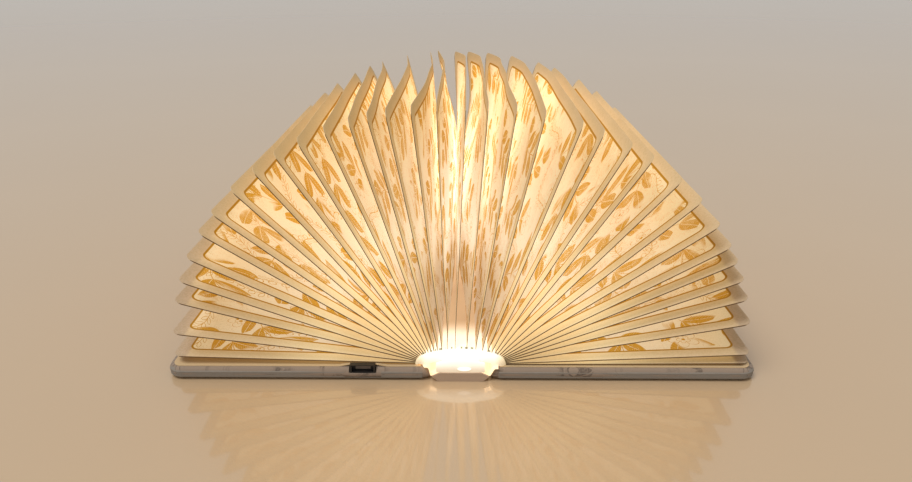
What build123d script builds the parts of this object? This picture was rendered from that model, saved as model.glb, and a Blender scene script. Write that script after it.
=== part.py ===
"""Folding book lamp, lying open on a table with its leaves fanned out, in millimetres.

X runs across the open book, Y from the front edge to the back edge of the covers, and Z up from the table.
The origin is on the table, under the middle of the spine.
"""

import os
from math import asin, atan, cos, degrees, radians, sin

from build123d import *

os.makedirs("parts", exist_ok=True)

# Covers, which lie flat on the table, one on each side of the spine
book_height = 215.0  # along Y, front edge to back edge
cover_reach = 148.0  # from a hinge line to the outer edge of its cover
cover_thickness = 7.3
cover_corner_radius = 9.0
cover_puff_radius = 2.4  # roundness of the padded top and bottom edges
cloth_thickness = 0.7
endpaper_thickness = 0.4
endpaper_margin = 3.5  # cloth left bare around the endpaper
endpaper_corner_radius = 5.0
turn_in = 15.0  # cloth folded over the board, under the endpaper
board_from_hinge = 5.0  # where the cover board starts, from its hinge line
board_rim_chamfer = 1.2

# Cloth hinges: a rolled bead along each side of the spine, and the hollow edge of the cover around it
hinge_half = 16.0  # from the middle of the spine to a hinge line
hinge_height = 3.0  # above the table
bead_radius = 0.45
bead_clearance = 0.15
bevel_clearance = 0.3  # between the slopes of the spine and a closed cover
cover_setback = 1.8  # of a cover's lower edge from its hinge line

# Spine, a six-sided bar between the covers
spine_thickness = 5.2
spine_top_bevel = 4.4  # from a hinge line to the flat top
spine_bottom_bevel = 3.5  # from a hinge line to the flat bottom
spine_edge_radius = 0.8

# Liner: a thin arch over the spine, in two halves, from which the leaves stand out
liner_half_span = 25.0
liner_rise = 10.2  # above the covers
liner_shoulder_radius = 7.0
liner_thickness = 0.5
liner_foot_gap = 0.2
liner_end_margin = 1.5  # the leaves are this much longer at each end

# Leaves: single sheets of stiff paper
leaf_reach = 134.8  # from the root on the liner to the free edge
leaf_end_margin = 5.0  # from a leaf's front or back edge to that of the covers
leaf_thickness = 0.25
leaf_corner_radius = 6.0
leaf_root_gap = 0.35  # from a leaf's root to the liner

# Angle of each leaf above the table, from the middle gap down to the cover
left_leaf_angles = (
    88.2, 84.3, 80, 76.9, 73.2, 68.5, 62.9, 57.4, 51.9, 45.4, 38.8, 33.5, 26.7, 20.6, 15.4, 7.4, 1.6,
)
right_leaf_angles = (
    87.5, 85.7, 82, 77.3, 70.6, 66.6, 60.9, 56, 48.5, 42, 35.2, 29.5, 25.9, 21.3, 16.9, 10.2, 2.6, 0.5,
)

# Spacing of the leaves' roots along the liner: wide at the crown, tight at the feet
left_first_root = 7.3  # from the crown to the first left root, along the liner
left_crown_pitch = 2.9
left_foot_pitch = 0.72
left_pitch_decay = 0.777
right_first_root = 2.95  # past the crown, on its left
right_crown_pitch = 6.4
right_foot_pitch = 0.58
right_pitch_decay = 0.74

# Light unit: a tray sunk in the spine, with a row of LEDs under a diffuser
light_end_margin = 7.5  # from each end of the light unit to that of the covers
tray_flange_setback = 1.1  # from the edge of the spine's flat top
tray_flange_width = 1.5
tray_flange_thickness = 0.8
tray_wall = 1.0
tray_floor = 0.8
tray_clearance = 0.1
spine_pocket_height = 1.7  # of the pocket's floor above the table
rail_width = 1.5
rail_height = 0.7
rail_inset = 0.5  # from the edge of the LED board
led_board_side_gap = 1.0
led_board_end_gap = 2.5
led_board_thickness = 1.0
led_size = 5.0
led_thickness = 1.6
led_pitch = 16.0
led_end_margin = 8.0
diffuser_rise = 5.2
diffuser_wall = 1.0
end_cap_thickness = 2.0
end_cap_plug_depth = 2.0
end_cap_clearance = 0.1
lens_radius = 3.6
lens_proud = 1.4
lens_offset = 2.0  # to the right of the middle

# Reed switch beside the tray, and the magnet in the right cover that works it
reed_radius = 0.9
reed_glass_length = 12.0
reed_wire_radius = 0.3
reed_wire_length = 2.0  # beyond each end of the glass
reed_from_tray = 2.0  # from the tray's side to the glass tube's axis
reed_from_end = 45.5  # from the covers' back edge to the middle of the glass
reed_clearance = 0.15
sensor_magnet_radius = 3.0
sensor_magnet_thickness = 2.0
sensor_magnet_from_hinge = 12.0

# Closing magnets, two in each cover near its outer edge
magnet_radius = 5.0
magnet_thickness = 2.0
magnet_from_edge = 11.0
magnet_half_spacing = 70.0
magnet_clearance = 0.1

# Charging socket in the front edge of the left cover
socket_from_hinge = 38.0
socket_width = 14.0
socket_depth = 8.0
socket_setback = 1.1  # of its face from the cover's front edge
socket_proud = 0.8  # of its body above the cover
hood_depth = 3.0
hood_proud = 2.0  # of the hood above the cover
mouth_width = 12.0
mouth_depth = 2.4
mouth_height = 3.9
mouth_wall = 0.4
receptacle_width = 8.4
receptacle_height = 2.6
receptacle_depth = 4.8
receptacle_roof = 0.3
tongue_width = 6.7
tongue_thickness = 0.7
tongue_length = 4.0

# Charging board under the socket, the battery beside it, and the flat lead to the light unit
circuit_width = 20.0
circuit_depth = 26.0
circuit_thickness = 1.0
circuit_setback = 2.0  # of its front edge from the cover's front edge
chip_size = 4.0
chip_thickness = 1.0
coil_size = 5.0
coil_thickness = 2.2
component_row = 10.0  # from the back edge of the board to the row of components
component_half_spacing = 4.5
pocket_clearance = 0.3
battery_width = 44.0
battery_length = 56.0
battery_thickness = 4.0
battery_edge_radius = 1.2
battery_gap = 4.0  # between the battery and the charging board
battery_setback = 21.5  # of its front edge from the cover's front edge
strip_thickness = 0.4  # of the battery's tab and of the lead
strip_width = 4.0
strip_overlap = 4.0
strip_clearance = 0.2
lead_end_setback = 2.0  # from the end of the LED board to the middle of the lead

# Places worked out from the sizes above
half_height = book_height / 2
leaf_height = book_height - 2 * leaf_end_margin
light_length = book_height - 2 * light_end_margin
cover_edge = hinge_half + cover_reach
board_top = cover_thickness - endpaper_thickness - cloth_thickness
endpaper_bottom = cover_thickness - endpaper_thickness
board_inner = hinge_half + board_from_hinge
board_outer = cover_edge - cloth_thickness
endpaper_outer = cover_edge - endpaper_margin
endpaper_half_height = half_height - endpaper_margin

spine_top_half = hinge_half - spine_top_bevel
spine_bottom_half = hinge_half - spine_bottom_bevel
spine_top_rise = spine_thickness - hinge_height
bevel_slope = spine_top_rise / spine_top_bevel
bevel_offset = bevel_clearance / cos(atan(bevel_slope))
cover_bevel_width = (cover_thickness - hinge_height) * bevel_slope

liner_length = leaf_height - 2 * liner_end_margin
crown_radius = (
    liner_half_span**2 + liner_rise**2 - 2 * liner_half_span * liner_shoulder_radius
) / (2 * (liner_rise - liner_shoulder_radius))
crown_angle = asin((liner_half_span - liner_shoulder_radius) / (crown_radius - liner_shoulder_radius))
crown_centre = (0, cover_thickness + liner_rise - crown_radius)
shoulder_centre = (liner_half_span - liner_shoulder_radius, cover_thickness)

flange_half = spine_top_half - tray_flange_setback
tray_half = flange_half - tray_flange_width
flange_top = spine_thickness + tray_flange_thickness
tray_body_length = light_length - 2 * tray_flange_width
led_board_half = tray_half - tray_wall - led_board_side_gap
led_board_length = tray_body_length - 2 * led_board_end_gap
led_board_bottom = spine_pocket_height + tray_floor + rail_height
led_board_top = led_board_bottom + led_board_thickness
diffuser_length = light_length - 2 * end_cap_thickness

reed_x = tray_half + reed_from_tray
reed_y = half_height - reed_from_end
reed_z = led_board_bottom - reed_wire_radius
reed_half_length = reed_glass_length / 2 + reed_wire_length

strip_bottom = hinge_height - strip_thickness / 2
circuit_bottom = strip_bottom - circuit_thickness
socket_x = -(hinge_half + socket_from_hinge)
socket_front = -half_height + socket_setback
socket_back = socket_front + socket_depth
socket_top = cover_thickness + socket_proud
hood_top = cover_thickness + hood_proud
circuit_left = socket_x - circuit_width / 2
circuit_right = socket_x + circuit_width / 2
circuit_front = -half_height + circuit_setback
circuit_back = circuit_front + circuit_depth
battery_right = circuit_left - battery_gap
battery_left = battery_right - battery_width
battery_front = -half_height + battery_setback
battery_back = battery_front + battery_length
tab_y = (battery_front + circuit_back) / 2
lead_y = lead_end_setback - led_board_length / 2
lead_from = circuit_right - strip_overlap
lead_to = strip_overlap - led_board_half

LEFT, RIGHT = -1, 1


def save(part, name):
    """Label a finished piece and write it."""
    part.label = name
    export_step(part, f"parts/{name}.step")


def box(x_span, y_span, z_span, mode=Mode.ADD):
    """Box between two limits on each axis, in the part being built."""
    spans = (x_span, y_span, z_span)
    with Locations(tuple((low + high) / 2 for low, high in spans)):
        Box(*(high - low for low, high in spans), mode=mode)


def around(middle, half):
    """Limits at equal distances on both sides of a middle."""
    return (middle - half, middle + half)


def cover_plate(side, inner, outer, half_y, radius, bottom, top):
    """Flat plate on one side of the spine, with its two outer corners rounded, in the part being built."""
    with BuildSketch(Plane.XY.offset(bottom)) as plan:
        with Locations((side * (inner + outer) / 2, 0)):
            Rectangle(outer - inner, 2 * half_y)
        outwards = Axis.X if side == RIGHT else -Axis.X
        fillet(vertices().sort_by(outwards)[-2:], radius)
    extrude(plan.sketch, amount=top - bottom)


def magnet_places(side):
    """Centres of a cover's two closing magnets, level with the top of the board's rim."""
    x = side * (cover_edge - magnet_from_edge)
    return [(x, y, board_top) for y in (-magnet_half_spacing, magnet_half_spacing)]


def disc_below(radius, thickness, mode=Mode.ADD):
    """Disc that hangs down from each current location."""
    Cylinder(radius, thickness, align=(Align.CENTER, Align.CENTER, Align.MAX), mode=mode)


def lead_slot():
    """Slot for the flat lead, cut through whatever it crosses between the cover and the light unit."""
    box(
        (lead_from, lead_to + strip_clearance),
        around(lead_y, strip_width / 2 + strip_clearance),
        around(hinge_height, strip_thickness / 2 + strip_clearance),
        mode=Mode.SUBTRACT,
    )


# ---------------------------------------------------------------- covers


def board_form(side):
    """Outer form of a cover board: a raised field inside a lower rim, over which the cloth is turned in."""
    with BuildPart() as form:
        cover_plate(
            side, board_inner, board_outer, half_height - cloth_thickness,
            cover_corner_radius - cloth_thickness, cloth_thickness, board_top,
        )
        chamfer(form.faces().filter_by(Axis.Z).edges(), board_rim_chamfer)
        x_span = sorted((side * (hinge_half + turn_in), side * (cover_edge - turn_in)))
        box(x_span, around(0, half_height - turn_in), (board_top, endpaper_bottom))
    return form.part


def cover_form(side):
    """Outer form of a padded cover, bevelled along the hinge and hollowed around the bead of the spine."""
    bevel_x = hinge_half + bevel_offset
    section = (
        (bevel_x, hinge_height),
        (bevel_x + cover_bevel_width, cover_thickness),
        (cover_edge, cover_thickness),
        (cover_edge, 0),
        (hinge_half + cover_setback, 0),
    )
    with BuildPart() as form:
        with BuildSketch(Plane.XZ):
            with BuildLine():
                Polyline(*[(side * x, z) for x, z in section], close=True)
            make_face()
        extrude(amount=half_height, both=True)
        outwards = Axis.X if side == RIGHT else -Axis.X
        fillet(form.edges().filter_by(Axis.Z).group_by(outwards)[-1], cover_corner_radius)
        fillet(form.faces().filter_by(Axis.Z).edges(), cover_puff_radius)
        with Locations((side * hinge_half, 0, hinge_height)):
            Cylinder(bead_radius + bead_clearance, 2 * book_height, rotation=(90, 0, 0), mode=Mode.SUBTRACT)
    return form.part


def endpaper_form(side):
    """Sheet glued inside a cover, a little smaller than the cover all round."""
    inner = hinge_half + bevel_offset + cover_bevel_width + endpaper_margin
    with BuildPart() as sheet:
        cover_plate(
            side, inner, endpaper_outer, endpaper_half_height, endpaper_corner_radius,
            endpaper_bottom, cover_thickness,
        )
    return sheet.part


def socket_form():
    """Outer form of the charging socket: a body under the endpaper and a taller hood at the cover's edge."""
    with BuildPart() as form:
        x_span = around(socket_x, socket_width / 2)
        box(x_span, (socket_front, socket_back), (strip_bottom, socket_top))
        box(x_span, (socket_front, socket_front + hood_depth), (socket_top, hood_top))
    return form.part


with BuildPart() as charge_socket:
    add(socket_form())
    mouth_top = hood_top - mouth_wall
    mouth_span = (mouth_top - mouth_height, mouth_top)
    mouth_back = socket_front + mouth_depth
    box(around(socket_x, mouth_width / 2), (socket_front, mouth_back), mouth_span, mode=Mode.SUBTRACT)
    receptacle_top = socket_top - receptacle_roof
    receptacle_back = mouth_back + receptacle_depth
    box(
        around(socket_x, receptacle_width / 2),
        (mouth_back, receptacle_back),
        (receptacle_top - receptacle_height, receptacle_top),
        mode=Mode.SUBTRACT,
    )
    tongue_z = receptacle_top - receptacle_height / 2
    box(
        around(socket_x, tongue_width / 2),
        (receptacle_back - tongue_length, receptacle_back),
        around(tongue_z, tongue_thickness / 2),
    )
save(charge_socket.part, "charge_socket")

with BuildPart() as left_board:
    add(board_form(LEFT))
    with Locations(*magnet_places(LEFT)):
        disc_below(magnet_radius + magnet_clearance, magnet_thickness, mode=Mode.SUBTRACT)
    box(
        (circuit_left - pocket_clearance, circuit_right + pocket_clearance),
        (-half_height, circuit_back + pocket_clearance),
        (circuit_bottom, endpaper_bottom),
        mode=Mode.SUBTRACT,
    )
    box(
        (battery_left - pocket_clearance, battery_right + pocket_clearance),
        (battery_front - pocket_clearance, battery_back + pocket_clearance),
        (circuit_bottom, endpaper_bottom),
        mode=Mode.SUBTRACT,
    )
    box(
        (battery_right, circuit_left),
        around(tab_y, strip_width / 2 + strip_clearance),
        around(hinge_height, strip_thickness / 2 + strip_clearance),
        mode=Mode.SUBTRACT,
    )
    lead_slot()
save(left_board.part, "left_board")

with BuildPart() as right_board:
    add(board_form(RIGHT))
    with Locations(*magnet_places(RIGHT)):
        disc_below(magnet_radius + magnet_clearance, magnet_thickness, mode=Mode.SUBTRACT)
    with Locations((hinge_half + sensor_magnet_from_hinge, reed_y, board_top)):
        disc_below(sensor_magnet_radius + magnet_clearance, sensor_magnet_thickness, mode=Mode.SUBTRACT)
save(right_board.part, "right_board")

with BuildPart() as left_endpaper:
    add(endpaper_form(LEFT))
    box(
        around(socket_x, socket_width / 2 + endpaper_thickness),
        (-endpaper_half_height, socket_back + endpaper_thickness),
        (cover_thickness, socket_top + endpaper_thickness),
    )
    add(socket_form(), mode=Mode.SUBTRACT)
save(left_endpaper.part, "left_endpaper")

with BuildPart() as right_endpaper:
    add(endpaper_form(RIGHT))
save(right_endpaper.part, "right_endpaper")

with BuildPart() as left_wrap:
    add(cover_form(LEFT))
    add([board_form(LEFT), endpaper_form(LEFT), socket_form()], mode=Mode.SUBTRACT)
    box(
        around(socket_x, socket_width / 2),
        (-book_height, socket_front),
        (hood_top - mouth_wall - mouth_height, hood_top),
        mode=Mode.SUBTRACT,
    )
    lead_slot()
save(left_wrap.part, "left_wrap")

with BuildPart() as right_wrap:
    add(cover_form(RIGHT))
    add([board_form(RIGHT), endpaper_form(RIGHT)], mode=Mode.SUBTRACT)
save(right_wrap.part, "right_wrap")

for side, name in ((LEFT, "left_magnets"), (RIGHT, "right_magnets")):
    with BuildPart() as magnets:
        with Locations(*magnet_places(side)):
            disc_below(magnet_radius, magnet_thickness)
    save(magnets.part, name)

with BuildPart() as sensor_magnet:
    with Locations((hinge_half + sensor_magnet_from_hinge, reed_y, board_top)):
        disc_below(sensor_magnet_radius, sensor_magnet_thickness)
save(sensor_magnet.part, "sensor_magnet")

# ---------------------------------------------------------------- battery and charging board

with BuildPart() as battery:
    box(
        (battery_left, battery_right),
        (battery_front, battery_back),
        (circuit_bottom, circuit_bottom + battery_thickness),
    )
    fillet(battery.edges().filter_by(Axis.Y), battery_edge_radius)
    box(
        (battery_right - battery_edge_radius, circuit_left + strip_overlap / 2),
        around(tab_y, strip_width / 2),
        (strip_bottom, strip_bottom + strip_thickness),
    )
save(battery.part, "battery")

with BuildPart() as charge_board:
    box((circuit_left, circuit_right), (circuit_front, circuit_back), (circuit_bottom, strip_bottom))
    with Locations((socket_x - component_half_spacing, circuit_back - component_row, strip_bottom)):
        Box(coil_size, coil_size, coil_thickness, align=(Align.CENTER, Align.CENTER, Align.MIN))
    with Locations((socket_x + component_half_spacing, circuit_back - component_row, strip_bottom)):
        Box(chip_size, chip_size, chip_thickness, align=(Align.CENTER, Align.CENTER, Align.MIN))
save(charge_board.part, "charge_board")

with BuildPart() as led_lead:
    box(
        (lead_from, lead_to),
        around(lead_y, strip_width / 2),
        (strip_bottom, strip_bottom + strip_thickness),
    )
save(led_lead.part, "led_lead")

# ---------------------------------------------------------------- spine


def spine_bar(inset):
    """Six-sided bar that comes to a point at both hinge lines, with its faces moved in by the inset."""
    section = (
        (hinge_half, hinge_height),
        (spine_top_half, spine_thickness),
        (-spine_top_half, spine_thickness),
        (-hinge_half, hinge_height),
        (-spine_bottom_half, 0),
        (spine_bottom_half, 0),
    )
    with BuildPart() as bar:
        with BuildSketch(Plane.XZ):
            with BuildLine():
                Polyline(*section, close=True)
            make_face()
            if inset:
                offset(amount=-inset, kind=Kind.INTERSECTION, mode=Mode.REPLACE)
        extrude(amount=half_height - inset, both=True)
    return bar.part


def tray_pocket():
    """Pocket for the tray, cut in the part being built."""
    box(
        around(0, tray_half + tray_clearance),
        around(0, tray_body_length / 2 + tray_clearance),
        (spine_pocket_height, spine_thickness),
        mode=Mode.SUBTRACT,
    )


def reed_wire_holes(radius):
    """Holes for the two wires that run from the reed switch to the LED board, cut in the part being built."""
    for y in (reed_y - reed_half_length, reed_y + reed_half_length):
        with Locations((reed_x, y, reed_z)):
            Cylinder(
                radius, reed_x - led_board_half, rotation=(0, -90, 0),
                align=(Align.CENTER, Align.CENTER, Align.MIN), mode=Mode.SUBTRACT,
            )


with BuildPart() as spine_board:
    add(spine_bar(cloth_thickness))
    tray_pocket()
    with Locations((reed_x, reed_y, reed_z)):
        pocket_length = 2 * (reed_half_length + reed_wire_radius + reed_clearance)
        Cylinder(reed_radius + reed_clearance, pocket_length, rotation=(90, 0, 0), mode=Mode.SUBTRACT)
    reed_wire_holes(reed_wire_radius + reed_clearance)
    lead_slot()
save(spine_board.part, "spine_board")

with BuildPart() as spine_wrap:
    add(spine_bar(0))
    long_edges = spine_wrap.edges().filter_by(Axis.Y)
    fillet(long_edges.group_by(Axis.Z)[0] + long_edges.group_by(Axis.Z)[-1], spine_edge_radius)
    with Locations((-hinge_half, 0, hinge_height), (hinge_half, 0, hinge_height)):
        Cylinder(bead_radius, book_height, rotation=(90, 0, 0))
    add(spine_bar(cloth_thickness), mode=Mode.SUBTRACT)
    tray_pocket()
    lead_slot()
save(spine_wrap.part, "spine_wrap")

with BuildPart() as reed_switch:
    with Locations((reed_x, reed_y, reed_z)):
        Cylinder(reed_radius, reed_glass_length, rotation=(90, 0, 0))
        Cylinder(reed_wire_radius, 2 * (reed_half_length + reed_wire_radius), rotation=(90, 0, 0))
    for y in (reed_y - reed_half_length, reed_y + reed_half_length):
        with Locations((reed_x, y, reed_z)):
            Cylinder(
                reed_wire_radius, reed_x - led_board_half + rail_inset / 2, rotation=(0, -90, 0),
                align=(Align.CENTER, Align.CENTER, Align.MIN),
            )
save(reed_switch.part, "reed_switch")

# ---------------------------------------------------------------- light unit

with BuildPart() as light_tray:
    box(around(0, tray_half), around(0, tray_body_length / 2), (spine_pocket_height, spine_thickness))
    box(around(0, flange_half), around(0, light_length / 2), (spine_thickness, flange_top))
    box(
        around(0, tray_half - tray_wall),
        around(0, tray_body_length / 2 - tray_wall),
        (spine_pocket_height + tray_floor, flange_top),
        mode=Mode.SUBTRACT,
    )
    for side in (LEFT, RIGHT):
        rail_x = side * (led_board_half - rail_inset - rail_width / 2)
        box(
            around(rail_x, rail_width / 2),
            around(0, led_board_length / 2),
            (spine_pocket_height + tray_floor, led_board_bottom),
        )
    reed_wire_holes(reed_wire_radius + reed_clearance)
    lead_slot()
save(light_tray.part, "light_tray")

with BuildPart() as led_board:
    box(around(0, led_board_half), around(0, led_board_length / 2), (led_board_bottom, led_board_top))
save(led_board.part, "led_board")

led_count = int((led_board_length - 2 * led_end_margin) / led_pitch) + 1
with BuildPart() as leds:
    with BuildSketch(Plane.XY.offset(led_board_top)):
        with GridLocations(led_size, led_pitch, 1, led_count):
            Rectangle(led_size, led_size)
    extrude(amount=led_thickness)
save(leds.part, "leds")


def dome_face(inset):
    """Face of the diffuser's dome across the spine, moved in by the inset, in the sketch being built."""
    half = flange_half - inset
    with BuildLine() as outline:
        ThreePointArc((-half, flange_top), (0, flange_top + diffuser_rise - inset), (half, flange_top))
        Line((half, flange_top), (-half, flange_top))
    make_face(outline.edges())


with BuildPart() as diffuser:
    with BuildSketch(Plane.XZ):
        dome_face(0)
    extrude(amount=diffuser_length / 2, both=True)
    with BuildSketch(Plane.XZ):
        dome_face(diffuser_wall)
    extrude(amount=diffuser_length / 2, both=True, mode=Mode.SUBTRACT)
save(diffuser.part, "diffuser")


def end_cap(end):
    """Cap over one end of the diffuser, with a plug that centres it; end is -1 at the front, 1 at the back."""
    inner_y = end * diffuser_length / 2
    with BuildPart() as cap:
        with BuildSketch(Plane.XZ.offset(-inner_y)):
            dome_face(0)
        extrude(amount=-end * end_cap_thickness)
        with BuildSketch(Plane.XZ.offset(-inner_y)):
            dome_face(diffuser_wall + end_cap_clearance)
        extrude(amount=end * end_cap_plug_depth)
    return cap.part


with BuildPart() as front_end_cap:
    add(end_cap(-1))
    with BuildSketch(Plane.XZ.offset(light_length / 2)):
        with Locations((lens_offset, flange_top)):
            Circle(lens_radius)
            Rectangle(2 * lens_radius, lens_radius, align=(Align.CENTER, Align.MAX), mode=Mode.SUBTRACT)
    extrude(amount=lens_proud)
save(front_end_cap.part, "front_end_cap")
save(end_cap(1), "rear_end_cap")

# ---------------------------------------------------------------- liner and leaves

shoulder_turn = 90 - degrees(crown_angle)
with BuildPart() as liner_right:
    with BuildSketch(Plane.XZ):
        with BuildLine():
            CenterArc(crown_centre, crown_radius, shoulder_turn, degrees(crown_angle))
            CenterArc(shoulder_centre, liner_shoulder_radius, 0, shoulder_turn)
            foot = cover_thickness
            inner_radius = liner_shoulder_radius - liner_thickness
            Line((liner_half_span, foot), (liner_half_span - liner_thickness, foot))
            CenterArc(shoulder_centre, inner_radius, 0, shoulder_turn)
            CenterArc(crown_centre, crown_radius - liner_thickness, shoulder_turn, degrees(crown_angle))
            crown_top = cover_thickness + liner_rise
            Line((0, crown_top - liner_thickness), (0, crown_top))
        make_face()
    extrude(amount=liner_length / 2, both=True)
    box(
        (0, 2 * liner_half_span),
        around(0, liner_length),
        (0, cover_thickness + liner_foot_gap),
        mode=Mode.SUBTRACT,
    )
save(liner_right.part, "liner_right")

with BuildPart() as liner_left:
    mirror(liner_right.part, about=Plane.YZ)
save(liner_left.part, "liner_left")


def liner_point(station, lift):
    """Point at a signed distance from the crown along the liner's outer curve, lifted off it: x and z."""
    side = LEFT if station < 0 else RIGHT
    along = abs(station)
    crown_length = crown_radius * crown_angle
    if along <= crown_length:
        centre, radius, angle = crown_centre, crown_radius, along / crown_radius
    else:
        centre, radius = shoulder_centre, liner_shoulder_radius
        angle = crown_angle + (along - crown_length) / liner_shoulder_radius
    x = centre[0] + (radius + lift) * sin(angle)
    z = centre[1] + (radius + lift) * cos(angle)
    return side * x, z


def root_stations(count, first, crown_pitch, foot_pitch, decay):
    """Distances of the roots from the crown, along the liner, on one side of the middle gap."""
    stations = [first]
    for step in range(count - 1):
        stations.append(stations[-1] + foot_pitch + (crown_pitch - foot_pitch) * decay**step)
    return stations


def leaf_places():
    """Side, root x, root z and angle above the table of each leaf, from the left cover to the right cover."""
    left_stations = root_stations(
        len(left_leaf_angles), left_first_root, left_crown_pitch, left_foot_pitch, left_pitch_decay
    )
    right_stations = root_stations(
        len(right_leaf_angles), -right_first_root, right_crown_pitch, right_foot_pitch, right_pitch_decay
    )
    places = []
    for station, angle in zip(reversed(left_stations), reversed(left_leaf_angles)):
        places.append((LEFT, *liner_point(-station, leaf_root_gap), angle))
    for station, angle in zip(right_stations, right_leaf_angles):
        places.append((RIGHT, *liner_point(station, leaf_root_gap), angle))
    return places


for number, (side, root_x, root_z, angle) in enumerate(leaf_places(), start=1):
    across, up = cos(radians(angle)), sin(radians(angle))
    sheet_plane = Plane((root_x, 0, root_z), x_dir=(side * across, 0, up), z_dir=(-up, 0, side * across))
    with BuildPart() as leaf:
        with BuildSketch(sheet_plane):
            Rectangle(leaf_reach, leaf_height, align=(Align.MIN, Align.CENTER))
            fillet(vertices().sort_by(Axis.X)[-2:], leaf_corner_radius)
        extrude(amount=leaf_thickness / 2, both=True)
    save(leaf.part, f"leaf_{number:02d}")
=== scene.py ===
"""Folding book lamp, dressed for rendering.

Two padded, cloth-covered boards lie open on a table with a narrow spine between them. A lit, arched liner
stands over the spine, and 35 stiff ivory leaves stand out from it like rays. Every length is in metres, in
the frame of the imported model: +X to the right across the open book, +Y from the front edge to the back edge,
+Z up.
"""

import logging
import math
import random
from collections.abc import Callable, Sequence
from dataclasses import dataclass, field
from enum import Enum

import bmesh
import bpy
from mathutils import Matrix, Vector


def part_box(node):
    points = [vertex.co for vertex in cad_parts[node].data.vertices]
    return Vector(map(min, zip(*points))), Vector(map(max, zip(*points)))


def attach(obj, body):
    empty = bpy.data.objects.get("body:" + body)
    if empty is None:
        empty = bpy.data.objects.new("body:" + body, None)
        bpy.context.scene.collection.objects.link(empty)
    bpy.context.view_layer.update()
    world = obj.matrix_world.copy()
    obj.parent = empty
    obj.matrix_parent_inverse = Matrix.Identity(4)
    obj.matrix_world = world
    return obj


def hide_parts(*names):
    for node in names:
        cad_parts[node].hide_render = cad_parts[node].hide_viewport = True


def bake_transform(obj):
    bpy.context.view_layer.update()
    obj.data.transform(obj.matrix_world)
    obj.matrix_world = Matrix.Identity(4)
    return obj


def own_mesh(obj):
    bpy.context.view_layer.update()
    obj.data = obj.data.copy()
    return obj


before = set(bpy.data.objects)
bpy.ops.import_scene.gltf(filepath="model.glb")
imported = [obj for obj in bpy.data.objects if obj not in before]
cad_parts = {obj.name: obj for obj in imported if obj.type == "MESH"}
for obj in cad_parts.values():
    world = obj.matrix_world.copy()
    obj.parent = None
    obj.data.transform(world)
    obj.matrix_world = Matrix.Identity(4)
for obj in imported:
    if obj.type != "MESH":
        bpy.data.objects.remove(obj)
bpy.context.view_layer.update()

log = logging.getLogger("book_lamp")

MM = 0.001
TURN = 6.28  # radians, nearly a whole turn, for random directions
Socket = bpy.types.NodeSocket
Value = float | Socket
Tone = tuple[float, float, float, float]
WHITE: Tone = (1.0, 1.0, 1.0, 1.0)


def tone(code: str) -> Tone:
    """Turns a screen colour into the linear colour that shaders take.

    Args:
        code: the colour as #rrggbb.

    Returns:
        Red, green, blue and a full alpha.
    """
    parts = [int(code[k : k + 2], 16) / 255 for k in (1, 3, 5)]
    linear = [p / 12.92 if p <= 0.04045 else ((p + 0.055) / 1.055) ** 2.4 for p in parts]
    return (linear[0], linear[1], linear[2], 1.0)


def eased(value: float, low: float, high: float) -> float:
    """Gives a smooth share that goes from 0 at low to 1 at high, which may be the lower number."""
    share = min(1.0, max(0.0, (value - low) / (high - low)))
    return share * share * (3 - 2 * share)


class Side(Enum):
    """The two halves of the open book, with the sign of their X."""

    LEFT = -1
    RIGHT = 1

    @property
    def word(self) -> str:
        """The side's name, as the model's nodes and bodies spell it."""
        return self.name.lower()


class End(Enum):
    """The two ends of the spine, with the sign of their Y."""

    FRONT = -1
    REAR = 1

    @property
    def word(self) -> str:
        """The end's name, as pieces spell it."""
        return self.name.lower()


class Part(Enum):
    """What an edit-mode selection is made of."""

    VERT = "verts"
    EDGE = "edges"


# ----------------------------------------------------------------------------------------------------
# Work on meshes
# ----------------------------------------------------------------------------------------------------


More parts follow.
